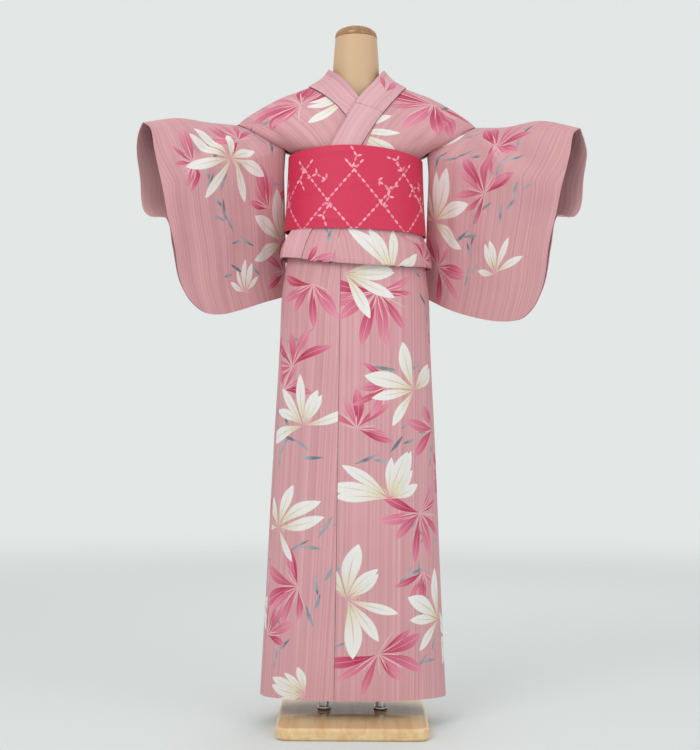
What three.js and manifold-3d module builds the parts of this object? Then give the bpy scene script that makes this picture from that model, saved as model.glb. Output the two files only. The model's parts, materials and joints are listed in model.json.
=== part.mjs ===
// Cotton yukata robe with a half-width sash, worn left over right on a limbless dress form stand.
// Millimetres, +Z up. The robe faces -Y, so the wearer's left is +X.
// The origin is the centre of the stand board's underside.
//
// The robe is flat strips of cloth sewn edge to edge. Round the body each strip lies on one spiral:
// an angle of 0 is the wearer's left side, 90 the front, 180 the right side and -90 the back. The
// outer front overlap starts the spiral at the right and it ends under the left front.

import * as THREE from 'three';
import Module from 'manifold-3d';
import { mergeVertices } from 'three/addons/utils/BufferGeometryUtils.js';

const wasm = await Module();
wasm.setup();

// ---- driving dimensions ----------------------------------------------------------------------

const CLOTH = 1.5;            // wall of a single layer of cotton
const BAND = 3.0;             // wall of the doubled collar
const SASH = 3.0;             // wall of the doubled sash
const SEAM_GAP = 0.3;         // between two strips at a seam
const SKIRT_PITCH = 4.5;      // how far the skirt moves in over one turn round the body
const UPPER_PITCH = 6.8;      // the same above the waist tuck, which lies double
const WRAP_START = 160;       // angle of the outer overlap's free edge
const WRAP_END = -340;        // angle of the inner overlap's free edge
const STEP = 7.5;             // angle between two grid columns

const HEM_HEIGHT = 58;
const HEM_LIFT = 6;           // the hem is this much higher at the front
const TUCK_INSIDE = 4;        // from the waist tuck's outer layer to the layer turned up inside it
const SKIRT_TOP = 1110;

const BOARD_WIDTH = 310;
const BOARD_DEPTH = 400;
const BOARD_THICK = 25;
const BOARD_CORNER = 28;
const BOARD_ROUND = 6;
const POST_RADIUS = 10.5;
const POST_SPACING = 120;
const FERRULE_RADIUS = 14;
const FERRULE_HEIGHT = 8;
const CAP_RADIUS = 46;
const CAP_BASE = 1469;
const CAP_TOP = 1497;
const FORM_BASE = 640;
const ROD_RADIUS = 6;
const CLEAR = 0.3;            // between two hard pieces that meet

// Outer robe surface at each height of the skirt.
const skirtRows = [
  { z: HEM_HEIGHT, halfWidth: 201, halfDepth: 121 },
  { z: 290, halfWidth: 189.5, halfDepth: 115 },
  { z: 450, halfWidth: 182.5, halfDepth: 112 },
  { z: 620, halfWidth: 174.5, halfDepth: 110 },
  { z: 790, halfWidth: 165.5, halfDepth: 108 },
  { z: 900, halfWidth: 162, halfDepth: 107 },
  { z: 950, halfWidth: 156, halfDepth: 103.5 },
  { z: 995, halfWidth: 149, halfDepth: 99.5 },
  { z: 1045, halfWidth: 136, halfDepth: 91 },
  { z: SKIRT_TOP, halfWidth: 131, halfDepth: 89 },
];

// Outer robe surface from the top of the sash down to the fold of the waist tuck.
const waistRows = [
  { z: 1209, halfWidth: 140.5, halfDepth: 103 },
  { z: 1130, halfWidth: 143, halfDepth: 104 },
  { z: 1046, halfWidth: 148, halfDepth: 105 },
  { z: 1018, halfWidth: 158, halfDepth: 111 },
  { z: 986, halfWidth: 167, halfDepth: 116 },
  { z: 967, halfWidth: 169, halfDepth: 117 },
];
const TUCK_SIDE_RISE = 12;    // the fold is higher at the sides than at the front
const TUCK_TILT = 0.06;       // and lower towards the wearer's left

// The shoulder line, from the middle of the neck out to the armhole seam.
const shoulderLine = [
  { reach: 0, z: 1424 },
  { reach: 58, z: 1394 },
  { reach: 95, z: 1369 },
  { reach: 125, z: 1356 },
  { reach: 160, z: 1343 },
  { reach: 207, z: 1318 },
  { reach: 246, z: 1292 },
  { reach: 264, z: 1276 },
];
const SHOULDER_REACH = 264;
const SHOULDER_Y = 8;
const RIDGE_SHARE = 0.2;      // the shoulder line keeps this share of the wrap's inward step
const NECK_ROOM = 61;         // the collar passes in front of the neck at this radius
const ARMHOLE_SPREAD = 34;    // how far front and back part at the armhole

// Where the collar and the overlap strips are sewn on, seen from the front.
const NECK_SEAM_REACH = 108;
const collarSeam = [
  { z: 1362, left: NECK_SEAM_REACH, right: -101 },
  { z: 1330, left: 87, right: -64 },
  { z: 1304, left: 68, right: -38 },
  { z: 1267, left: 42, right: -10 },
  { z: 1224, left: 16, right: 22 },
  { z: 1036, left: -92, right: 100 },
  { z: 967, left: -117, right: 118 },
];
const collarEdge = [
  { z: 1394, left: 58, right: -57 },
  { z: 1358, left: 33, right: -19 },
  { z: 1322, left: 6, right: 7 },
  { z: 1285, left: -14, right: 31 },
  { z: 1222, left: -49, right: 73 },
  { z: 1036, left: -136, right: 139 },
  { z: 967, left: -157, right: 156 },
];
const overlapSeam = [
  { z: 1267, left: 42, right: -10 },
  { z: 1224, left: 24, right: 10 },
  { z: 1041, left: -31, right: 31 },
  { z: 967, left: -47, right: 47 },
];
const OVERLAP_TOP = 1267;     // the overlap strips run out against the collar here
const NAPE_LEVEL = 0.36;      // how far down the back the collar is sewn on
const COLLAR_PROUD = 1;       // the doubled collar stands this far above the cloth
const NAPE_EDGE_Y = 101;      // the collar's free edge behind the neck
const NAPE_EDGE_Z = 1391;

// The sleeves reach out and forward. level 0 is the fold along the arm and 1 the lower seam.
const SLEEVE_SEWN = 0.36;     // the sleeve is sewn to the body down to this level
const BODY_SEWN = 0.86;       // which is this level of the body's armhole
const CUFF_LEVEL = 0.54;      // below this the outer edge is sewn up
const sleeves = {
  right: {
    side: -1,
    fold: [
      { reach: 314, y: -55, z: 1272 },
      { reach: 373, y: -132, z: 1264 },
      { reach: 430, y: -215, z: 1237 },
    ],
    frontOuter: [
      { level: 0, reach: 430, y: -215, z: 1237 },
      { level: 0.04, reach: 412, y: -230, z: 1222 },
      { level: 0.16, reach: 402, y: -240, z: 1176 },
      { level: 0.36, reach: 386, y: -238, z: 1102 },
      { level: 0.53, reach: 377, y: -224, z: 1044 },
      { level: 0.7, reach: 364, y: -214, z: 985 },
      { level: 0.86, reach: 351, y: -206, z: 915 },
      { level: 1, reach: 322, y: -182, z: 859 },
    ],
    backOuter: [
      { level: 0, reach: 430, y: -215, z: 1237 },
      { level: 0.04, reach: 440, y: -206, z: 1216 },
      { level: 0.16, reach: 444, y: -199, z: 1180 },
      { level: 0.3, reach: 437, y: -194, z: 1125 },
      { level: 0.44, reach: 431, y: -193, z: 1066 },
      { level: 0.5, reach: 413, y: -202, z: 1046 },
      { level: 0.54, reach: 379, y: -219, z: 1042 },
      { level: 0.7, reach: 366, y: -210, z: 985 },
      { level: 0.86, reach: 353, y: -202, z: 915 },
      { level: 1, reach: 324, y: -178, z: 859 },
    ],
    bottom: [
      { reach: 153, y: 57, z: 912 },
      { reach: 197, y: -2, z: 893 },
      { reach: 241, y: -66, z: 871 },
      { reach: 282, y: -124, z: 856 },
      { reach: 323, y: -180, z: 859 },
    ],
    innerReach: 153,
  },
  left: {
    side: 1,
    fold: [
      { reach: 321, y: -55, z: 1266 },
      { reach: 387, y: -135, z: 1262 },
      { reach: 452, y: -215, z: 1230 },
    ],
    frontOuter: [
      { level: 0, reach: 452, y: -215, z: 1230 },
      { level: 0.04, reach: 436, y: -230, z: 1216 },
      { level: 0.16, reach: 427, y: -240, z: 1172 },
      { level: 0.36, reach: 411, y: -238, z: 1106 },
      { level: 0.53, reach: 403, y: -224, z: 1054 },
      { level: 0.7, reach: 390, y: -214, z: 990 },
      { level: 0.86, reach: 379, y: -206, z: 915 },
      { level: 1, reach: 352, y: -184, z: 847 },
    ],
    backOuter: [
      { level: 0, reach: 452, y: -215, z: 1230 },
      { level: 0.04, reach: 462, y: -206, z: 1206 },
      { level: 0.16, reach: 468, y: -199, z: 1178 },
      { level: 0.3, reach: 462, y: -194, z: 1132 },
      { level: 0.44, reach: 456, y: -193, z: 1072 },
      { level: 0.5, reach: 438, y: -202, z: 1050 },
      { level: 0.54, reach: 405, y: -219, z: 1052 },
      { level: 0.7, reach: 392, y: -210, z: 990 },
      { level: 0.86, reach: 381, y: -202, z: 915 },
      { level: 1, reach: 354, y: -180, z: 847 },
    ],
    bottom: [
      { reach: 157, y: 57, z: 910 },
      { reach: 205, y: 0, z: 880 },
      { reach: 256, y: -62, z: 858 },
      { reach: 306, y: -124, z: 845 },
      { reach: 353, y: -182, z: 847 },
    ],
    innerReach: 157,
  },
};
// The free inner edge of a sleeve, below the part sewn to the body.
const hangingEdge = [
  { level: 0.42, proud: 2, front: -8, back: 18, z: 1174 },
  { level: 0.56, proud: 1, front: 22, back: 42, z: 1104 },
  { level: 0.72, proud: 0, front: 48, back: 62, z: 1030 },
  { level: 0.86, proud: 0, front: 56, back: 64, z: 970 },
];

// The sash: heights are the middle of the front, with the front arched up at its top edge.
const sashRows = [
  { z: 1040, halfWidth: 153.5, halfDepth: 110.5 },
  { z: 1110, halfWidth: 148.8, halfDepth: 109.3 },
  { z: 1203, halfWidth: 145.2, halfDepth: 108.5 },
];
const SASH_ARCH = 12;
const SASH_TILT = 0.03;

// The form's sections, from its base up to the top of the neck.
const formRows = [
  { z: FORM_BASE, halfWidth: 118, halfDepth: 80 },
  { z: 900, halfWidth: 124, halfDepth: 82 },
  { z: 1040, halfWidth: 108, halfDepth: 72 },
  { z: 1120, halfWidth: 106, halfDepth: 70 },
  { z: 1190, halfWidth: 114, halfDepth: 76 },
  { z: 1250, halfWidth: 130, halfDepth: 70 },
  { z: 1290, halfWidth: 136, halfDepth: 58 },
  { z: 1318, halfWidth: 120, halfDepth: 54 },
  { z: 1338, halfWidth: 88, halfDepth: 52 },
  { z: 1355, halfWidth: 64, halfDepth: 52 },
  { z: 1378, halfWidth: 51, halfDepth: 50 },
  { z: 1407, halfWidth: 50, halfDepth: 49.5 },
  { z: 1432, halfWidth: 48, halfDepth: 48 },
  { z: CAP_BASE - CLEAR, halfWidth: 45.5, halfDepth: 45.5 },
];

// ---- finishes ----------------------------------------------------------------------------------

const finish = (color, roughness, metalness = 0) =>
  new THREE.MeshStandardMaterial({ color, roughness, metalness });
const cotton = finish('#cba4a6', 0.85);
const cottonCollar = finish('#dcb3b7', 0.85);
const sashCloth = finish('#d3385a', 0.6);
const formSkin = finish('#dcbd97', 0.6);
const wood = finish('#c79a67', 0.35);
const boardWood = finish('#d6b581', 0.3);
const chrome = finish('#d8dadd', 0.15, 1);

const robe = new THREE.Group();
const addPiece = (name, geometry, material) => {
  const mesh = new THREE.Mesh(geometry, material);
  mesh.name = name;
  robe.add(mesh);
};

// ---- helpers -----------------------------------------------------------------------------------

const radians = THREE.MathUtils.degToRad;
const lerp = THREE.MathUtils.lerp;

// Value of a named column of a table at a key, on a smooth curve through its rows.
function readTable(rows, key, at, column) {
  const rising = rows[0][key] < rows[rows.length - 1][key];
  const sorted = rising ? rows : [...rows].reverse();
  const last = sorted.length - 1;
  const value = THREE.MathUtils.clamp(at, sorted[0][key], sorted[last][key]);
  let i = 0;
  while (i < last - 1 && value > sorted[i + 1][key]) i += 1;
  const span = sorted[i + 1][key] - sorted[i][key];
  const u = (value - sorted[i][key]) / span;
  const slope = (k) => {
    const before = sorted[Math.max(k - 1, 0)];
    const after = sorted[Math.min(k + 1, last)];
    return (after[column] - before[column]) / (after[key] - before[key]);
  };
  const start = sorted[i][column];
  const end = sorted[i + 1][column];
  const m0 = slope(i) * span;
  const m1 = slope(i + 1) * span;
  return (2 * u ** 3 - 3 * u ** 2 + 1) * start + (u ** 3 - 2 * u ** 2 + u) * m0
    + (3 * u ** 2 - 2 * u ** 3) * end + (u ** 3 - u ** 2) * m1;
}

// A point on the smooth curve through a short list of rows, at a fraction of its way.
function along(rows, fraction) {
  const curve = new THREE.CatmullRomCurve3(rows.map((r) => new THREE.Vector3(r.reach, r.y, r.z)));
  return curve.getPointAt(fraction);
}

// Closed wall: grid[i][j] is its outer face and the inner face is thickness behind it.
function wall(grid, thickness, { closed = false, flip = false } = {}) {
  const columns = grid.length;
  const rows = grid[0].length;
  // Tangents come from both neighbours, or at an end from the next two points.
  const tangent = (list, k, wraps) => {
    const count = list.length;
    if (wraps) return list[(k + 1) % count].clone().sub(list[(k + count - 1) % count]);
    if (count < 3) return list[1].clone().sub(list[0]);
    if (k > 0 && k < count - 1) return list[k + 1].clone().sub(list[k - 1]);
    const way = k === 0 ? 1 : -1;
    const curve = list[k].clone().multiplyScalar(-3);
    return curve.addScaledVector(list[k + way], 4).sub(list[k + 2 * way]).multiplyScalar(way);
  };
  const positions = [];
  const inner = [];
  for (let i = 0; i < columns; i += 1) {
    for (let j = 0; j < rows; j += 1) {
      const across = tangent(grid.map((column) => column[j]), i, closed);
      const down = tangent(grid[i], j, false);
      const normal = across.cross(down).normalize().multiplyScalar(flip ? -1 : 1);
      const point = grid[i][j];
      positions.push(point.x, point.y, point.z);
      const behind = point.clone().addScaledVector(normal, -thickness);
      inner.push(behind.x, behind.y, behind.z);
    }
  }
  const count = columns * rows;
  const index = [];
  const quad = (a, b, c, d) => {
    if (flip) index.push(a, c, b, a, d, c);
    else index.push(a, b, c, a, c, d);
  };
  const outerAt = (i, j) => ((i + columns) % columns) * rows + j;
  const innerAt = (i, j) => outerAt(i, j) + count;
  const spans = closed ? columns : columns - 1;
  for (let i = 0; i < spans; i += 1) {
    for (let j = 0; j < rows - 1; j += 1) {
      quad(outerAt(i, j), outerAt(i + 1, j), outerAt(i + 1, j + 1), outerAt(i, j + 1));
      quad(innerAt(i, j), innerAt(i, j + 1), innerAt(i + 1, j + 1), innerAt(i + 1, j));
    }
    quad(outerAt(i + 1, 0), outerAt(i, 0), innerAt(i, 0), innerAt(i + 1, 0));
    const end = rows - 1;
    quad(outerAt(i, end), outerAt(i + 1, end), innerAt(i + 1, end), innerAt(i, end));
  }
  if (!closed) {
    const last = columns - 1;
    for (let j = 0; j < rows - 1; j += 1) {
      quad(outerAt(0, j), outerAt(0, j + 1), innerAt(0, j + 1), innerAt(0, j));
      quad(outerAt(last, j + 1), outerAt(last, j), innerAt(last, j), innerAt(last, j + 1));
    }
  }
  const geometry = new THREE.BufferGeometry();
  geometry.setAttribute('position', new THREE.Float32BufferAttribute([...positions, ...inner], 3));
  geometry.setIndex(index);
  return geometry;
}

// Grid columns between two angles of the spiral: the ends, and the shared steps between them.
function angles(from, to) {
  const low = Math.min(from, to);
  const high = Math.max(from, to);
  const list = [low];
  const first = Math.floor(low / STEP + 1);
  for (let k = first; k * STEP < high; k += 1) {
    if (k * STEP - low > STEP / 2 && high - k * STEP > STEP / 2) list.push(k * STEP);
  }
  list.push(high);
  return list;
}

const inset = (angle, pitch) => pitch * (WRAP_START - angle) / 360;

// ---- the robe's surface -------------------------------------------------------------------------

function ringPoint(row, angle, pitch, depth = 0) {
  const turn = radians(angle);
  const within = inset(angle, pitch) + depth;
  return new THREE.Vector3(
    (row.halfWidth - within) * Math.cos(turn),
    -(row.halfDepth - within) * Math.sin(turn),
    row.z,
  );
}

function skirtPoint(row, angle) {
  const point = ringPoint(row, angle, SKIRT_PITCH);
  const nearHem = THREE.MathUtils.clamp(1 - (row.z - HEM_HEIGHT) / 400, 0, 1);
  point.z += HEM_LIFT * nearHem * Math.max(0, Math.sin(radians(angle)));
  return point;
}

const tuckShift = (angle) =>
  TUCK_SIDE_RISE * Math.cos(radians(angle)) ** 2 - TUCK_TILT * 160 * Math.cos(radians(angle));

function waistPoint(index, angle, depth = 0) {
  const row = waistRows[index];
  const point = ringPoint(row, angle, UPPER_PITCH, depth);
  const low = THREE.MathUtils.clamp((1046 - row.z) / 60, 0, 1);
  point.z += low * tuckShift(angle);
  if (index === 0) point.z -= SASH_TILT * point.x;
  return point;
}

// A point of the bodice: level 0 is the shoulder line and 1 the top of the sash.
function bodicePoint(level, angle) {
  const turn = radians(angle);
  const outward = Math.cos(turn);
  const front = Math.sin(turn) >= 0;
  const within = inset(angle, UPPER_PITCH);
  const low = waistPoint(0, angle);
  const reach = outward * (SHOULDER_REACH - within);
  const ridge = readTable(shoulderLine, 'reach', Math.abs(reach), 'z') - RIDGE_SHARE * within;
  const round = Math.sin(level * Math.PI / 2) ** (front ? 0.62 : 0.42);
  const part = Math.sin(level * Math.PI) ** 0.8 * Math.abs(outward) ** 3 * ARMHOLE_SPREAD;
  const point = new THREE.Vector3(
    lerp(reach, low.x, level),
    lerp(SHOULDER_Y, low.y, round) + (front ? -part : part),
    lerp(ridge, low.z, level),
  );
  if (front && Math.abs(point.x) < NECK_ROOM) {
    point.y = Math.min(point.y, -Math.sqrt(NECK_ROOM ** 2 - point.x ** 2) - within / 2);
  }
  return point;
}

// Angle where a level of the bodice or waist meets a line seen from the front.
function meet(pointAt, seam, side, turns) {
  let low = 0;
  let high = 180;
  const column = side > 0 ? 'left' : 'right';
  for (let step = 0; step < 40; step += 1) {
    const middle = (low + high) / 2;
    const point = pointAt(middle + turns);
    const line = readTable(seam, 'z', point.z, column);
    if (point.x > line) low = middle;
    else high = middle;
  }
  return (low + high) / 2 + turns;
}

// Rows of the upper robe, from the shoulder line down to the tuck and up again inside it.
const BODICE_LEVELS = [0.04, 0.12, 0.24, 0.38, 0.52, 0.66, 0.8, 0.92];
const upperRows = [
  { pointAt: (angle) => bodicePoint(0, angle), level: 0 },
  ...BODICE_LEVELS.map((level) => ({ pointAt: (angle) => bodicePoint(level, angle), level })),
  ...waistRows.map((row, index) => ({ pointAt: (angle) => waistPoint(index, angle), level: 1 + index })),
  {
    pointAt: (angle) => waistPoint(5, angle, TUCK_INSIDE / 2).add(new THREE.Vector3(0, 0, -4)),
    level: 6.5,
  },
  { pointAt: (angle) => waistPoint(5, angle, TUCK_INSIDE), level: 7 },
  { pointAt: (angle) => waistPoint(4, angle, TUCK_INSIDE), level: 7.5 },
  { pointAt: (angle) => waistPoint(3, angle, TUCK_INSIDE), level: 8 },
];

// The side seam runs a little forward towards the tuck.
const sideAngle = (side, level) => {
  const forward = THREE.MathUtils.clamp((level - 1) / 4, 0, 1) * 12;
  return side > 0 ? forward : -180 - forward;
};

// ---- the robe's pieces ---------------------------------------------------------------------------

const skirtPieces = [
  { name: 'left_overlap_skirt', from: 160, to: 101 },
  { name: 'left_front_skirt', from: 101, to: 14 },
  { name: 'left_back_skirt', from: 14, to: -90 },
  { name: 'right_back_skirt', from: -90, to: -194 },
  { name: 'right_front_skirt', from: -194, to: -281 },
  { name: 'right_overlap_skirt', from: -281, to: WRAP_END },
];

function skirtPiece({ from, to }) {
  const gapAngle = THREE.MathUtils.radToDeg(SEAM_GAP / 100);
  const columns = angles(from - gapAngle, to + gapAngle);
  const grid = columns.map((angle) => [...skirtRows].reverse().map((row) => skirtPoint(row, angle)));
  return wall(grid, CLOTH);
}

// One strip runs from the front tuck over the shoulder to the back tuck.
const FRACTIONS = [0, 0.14, 0.28, 0.43, 0.58, 0.73, 0.87, 1];

function shoulderPiece(side) {
  const turns = side > 0 ? 0 : -360;
  const gapAngle = THREE.MathUtils.radToDeg(SEAM_GAP / 120);
  const toward = side > 0 ? -1 : 1;
  const column = (fraction) => {
    const rows = [];
    const frontRows = upperRows.slice(1).filter((row) => side > 0 || row.level <= 6).reverse();
    for (const row of frontRows) {
      const collar = meet(row.pointAt, collarSeam, side, turns);
      const overlap = meet(row.pointAt, overlapSeam, side, turns);
      const atCollar = row.pointAt(collar).z > OVERLAP_TOP;
      const seam = (atCollar ? collar : overlap) + toward * gapAngle;
      const edge = sideAngle(side, row.level) - toward * gapAngle;
      rows.push(row.pointAt(lerp(seam, edge, fraction)));
    }
    const ridgeSeam = meet(upperRows[0].pointAt, collarSeam, side, turns) + toward * gapAngle;
    const ridgeEdge = side > 0 ? 0 : -180;
    rows.push(upperRows[0].pointAt(lerp(ridgeSeam, ridgeEdge, fraction)));
    for (const row of upperRows.slice(1)) {
      const edge = sideAngle(side, row.level) + toward * gapAngle;
      const atNeck = row.level < NAPE_LEVEL;
      const drop = Math.asin(Math.min(row.level / NAPE_LEVEL, 1));
      const seam = (atNeck ? napeSeamAngle(side, drop) : -90) - toward * gapAngle;
      rows.push(row.pointAt(lerp(seam, edge, fraction)));
    }
    return rows;
  };
  return wall(FRACTIONS.map(column), CLOTH, { flip: side < 0 });
}

// The neck seam on the back, from the shoulder line (drop 0) to the middle of the back (90 degrees).
function napeSeamAngle(side, drop) {
  const level = NAPE_LEVEL * Math.sin(drop);
  const wanted = NECK_SEAM_REACH * Math.cos(drop);
  let low = 0;
  let high = 90;
  for (let step = 0; step < 40; step += 1) {
    const middle = (low + high) / 2;
    if (Math.abs(bodicePoint(level, -middle).x) > wanted) low = middle;
    else high = middle;
  }
  const turn = (low + high) / 2;
  return side > 0 ? -turn : -180 + turn;
}

function overlapPiece(side) {
  const turns = side > 0 ? 0 : -360;
  const gapAngle = THREE.MathUtils.radToDeg(SEAM_GAP / 120);
  const toward = side > 0 ? -1 : 1;
  const rows = upperRows.filter((row) => {
    const collar = meet(row.pointAt, collarSeam, side, turns);
    return row.pointAt(collar).z < OVERLAP_TOP - 20 && (side > 0 || row.level <= 6);
  });
  const grid = [0, 0.25, 0.5, 0.75, 1].map((fraction) => rows.map((row) => {
    const collar = meet(row.pointAt, collarSeam, side, turns) + toward * gapAngle;
    const overlap = meet(row.pointAt, overlapSeam, side, turns) - toward * gapAngle;
    return row.pointAt(lerp(collar, overlap, fraction));
  }));
  return wall(grid, CLOTH, { flip: side > 0 });
}

// The collar lies doubled along the neck edge, a little proud of the cloth. Each of its rows runs
// from the free edge to the seam.
const COLLAR_ROWS = [0, 0.33, 0.67, 1];
const OVER_COLLAR_END = 0.53; // the over-collar is sewn down at this level of the fronts

function collarRow(pointAt, side) {
  const turns = side > 0 ? 0 : -360;
  const gapAngle = side * THREE.MathUtils.radToDeg(SEAM_GAP / 120);
  const seam = meet(pointAt, collarSeam, side, turns) + gapAngle;
  const edge = meet(pointAt, collarEdge, side, turns);
  return COLLAR_ROWS.map((fraction) => {
    const point = pointAt(lerp(edge, seam, fraction));
    const out = new THREE.Vector3(point.x * 0.25, point.y, 12).normalize();
    return point.addScaledVector(out, COLLAR_PROUD);
  });
}

const bodiceCollar = (levels, side) =>
  levels.map((level) => collarRow((angle) => bodicePoint(level, angle), side));

// Behind the neck the collar stands up and leans back.
function napeCollar(side) {
  const start = collarRow((angle) => bodicePoint(0, angle), side)[0];
  return [23, 45, 67, 90].map((turn) => {
    const drop = radians(turn);
    const lean = Math.sin(drop);
    const seam = bodicePoint(NAPE_LEVEL * lean, napeSeamAngle(side, drop));
    seam.z += SEAM_GAP + 2 * COLLAR_PROUD;
    const edge = new THREE.Vector3(
      start.x * Math.cos(drop),
      lerp(start.y, NAPE_EDGE_Y, lean),
      lerp(start.z, NAPE_EDGE_Z, lean),
    );
    return COLLAR_ROWS.map((fraction) => edge.clone().lerp(seam, fraction));
  });
}

function overCollar() {
  const levels = [0, 0.03, 0.08, 0.16, 0.26, 0.38, OVER_COLLAR_END];
  const left = bodiceCollar([...levels].reverse(), 1);
  const right = bodiceCollar(levels, -1);
  const napeLeft = napeCollar(1);
  const napeRight = napeCollar(-1).slice(0, -1).reverse();
  return wall([...left, ...napeLeft, ...napeRight, ...right], BAND, { flip: true });
}

// Below the over-collar the band runs on under the sash and shows again at the tuck.
function collarEnd(side) {
  const upper = bodiceCollar([OVER_COLLAR_END + 0.008, 0.66, 0.8, 0.92], side);
  const lower = waistRows.map((row, index) => collarRow((angle) => waistPoint(index, angle), side));
  return wall([...upper, ...lower], BAND, { flip: side < 0 });
}

function sleevePiece({ side, fold, frontOuter, backOuter, bottom, innerReach }) {
  const sewnLevels = BODICE_LEVELS.filter((level) => level < BODY_SEWN);
  const levels = [
    ...sewnLevels.map((level) => level / BODY_SEWN * SLEEVE_SEWN),
    SLEEVE_SEWN, 0.44, 0.5, CUFF_LEVEL, 0.66, 0.8, 0.92, 1,
  ];
  const acrossSteps = [0, 0.1, 0.24, 0.4, 0.56, 0.72, 0.87, 1];
  const innerAt = (level, layer) => {
    if (level <= SLEEVE_SEWN) {
      const sewn = level / SLEEVE_SEWN * BODY_SEWN;
      const angle = side > 0 ? layer * -0.01 : -180 + layer * 0.01;
      const point = bodicePoint(sewn, angle);
      return new THREE.Vector3(Math.abs(point.x) + 1.2, point.y, point.z);
    }
    const last = hangingEdge[hangingEdge.length - 1];
    const column = layer < 0 ? 'front' : 'back';
    const start = innerAt(SLEEVE_SEWN, layer);
    const end = along(bottom, 0);
    const rows = [
      { level: SLEEVE_SEWN, reach: start.x, y: start.y, z: start.z },
      ...hangingEdge.map((row) => ({
        level: row.level, reach: innerReach + row.proud, y: row[column], z: row.z,
      })),
      { level: 1, reach: end.x, y: lerp(last[column], end.y, 0.8), z: end.z },
    ];
    return new THREE.Vector3(
      readTable(rows, 'level', level, 'reach'),
      readTable(rows, 'level', level, 'y'),
      readTable(rows, 'level', level, 'z'),
    );
  };
  const outerAt = (level, layer) => {
    const rows = layer < 0 ? frontOuter : backOuter;
    return new THREE.Vector3(
      readTable(rows, 'level', level, 'reach'),
      readTable(rows, 'level', level, 'y'),
      readTable(rows, 'level', level, 'z'),
    );
  };
  const armTop = innerAt(0, -1);
  const foldLine = [{ reach: armTop.x, y: armTop.y, z: armTop.z }, ...fold];
  const seamHalf = 1.8;
  const layerPoint = (across, level, layer) => {
    const inner = innerAt(level, layer);
    const outer = outerAt(level, layer);
    const top = along(foldLine, across);
    const low = along(bottom, across).add(new THREE.Vector3(seamHalf * 0.8 * layer, seamHalf * 0.6 * layer, 0));
    const corners = [innerAt(0, layer), innerAt(1, layer), outerAt(0, layer), outerAt(1, layer)];
    const point = new THREE.Vector3();
    point.addScaledVector(inner, 1 - across).addScaledVector(outer, across);
    point.addScaledVector(top, 1 - level).addScaledVector(low, level);
    point.addScaledVector(corners[0], -(1 - across) * (1 - level));
    point.addScaledVector(corners[1], -(1 - across) * level);
    point.addScaledVector(corners[2], -across * (1 - level));
    point.addScaledVector(corners[3], -across * level);
    const open = Math.sin(across * Math.PI) * Math.sin(Math.sqrt(level) * Math.PI);
    const spread = 14 * open * layer;
    point.x += 0.8 * spread;
    point.y += 0.6 * spread;
    return new THREE.Vector3(point.x * side, point.y, point.z);
  };
  const grid = acrossSteps.map((across) => {
    const top = along(foldLine, across);
    return [
      ...[...levels].reverse().map((level) => layerPoint(across, level, -1)),
      new THREE.Vector3(top.x * side, top.y, top.z),
      ...levels.map((level) => layerPoint(across, level, 1)),
    ];
  });
  return wall(grid, CLOTH, { flip: side < 0 });
}

// ---- the sash --------------------------------------------------------------------------------------

function sashBand() {
  const columns = [];
  for (let angle = 0; angle < 360; angle += STEP) {
    const turn = radians(angle);
    columns.push([...sashRows].reverse().map((row) => {
      const x = row.halfWidth * Math.cos(turn);
      const y = -row.halfDepth * Math.sin(turn);
      const rise = (row.z - sashRows[0].z) / (sashRows[2].z - sashRows[0].z);
      const arch = SASH_ARCH * Math.max(0, Math.sin(turn)) ** 2 * rise;
      return new THREE.Vector3(x, y, row.z + arch - SASH_TILT * x);
    }));
  }
  return wall(columns, SASH, { closed: true });
}

// Behind, the sash is tied in a small bow of two loops, narrow enough to stay out of the front view.
const BOW_Z = 1138;
const BOW_Y = 133;
const bowLoop = { middle: 81, halfReach: 46, halfDeep: 15, knotHalf: 36, tipHalf: 80, droop: 10 };
const knot = { halfWidth: 30, halfDeep: 21, halfHeight: 62 };

function bowPiece(side) {
  const columns = [];
  for (let angle = 0; angle < 360; angle += 22.5) {
    const turn = radians(angle);
    const reach = bowLoop.middle + bowLoop.halfReach * Math.cos(turn);
    const outward = (reach - bowLoop.middle + bowLoop.halfReach) / (2 * bowLoop.halfReach);
    const half = lerp(bowLoop.knotHalf, bowLoop.tipHalf, Math.sqrt(outward));
    const y = BOW_Y + 8 * outward * -1 + bowLoop.halfDeep * Math.sin(turn);
    columns.push([-1, -0.35, 0.35, 1].map((height) =>
      new THREE.Vector3(side * reach, y, BOW_Z + height * half - bowLoop.droop * outward)));
  }
  return wall(columns, SASH * 0.7, { closed: true, flip: side < 0 });
}

function knotPiece() {
  const rows = [-1, -0.92, -0.7, -0.35, 0, 0.35, 0.7, 0.92, 1].map((height) => {
    const full = Math.sqrt(Math.max(0, 1 - Math.abs(height) ** 3.2)) * 0.85 + 0.15;
    return {
      z: height * knot.halfHeight,
      halfWidth: knot.halfWidth * full,
      halfDepth: knot.halfDeep * full,
    };
  });
  return loft(rows, 20).translate(0, BOW_Y - 2, BOW_Z);
}

// ---- the stand ---------------------------------------------------------------------------------------

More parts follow.
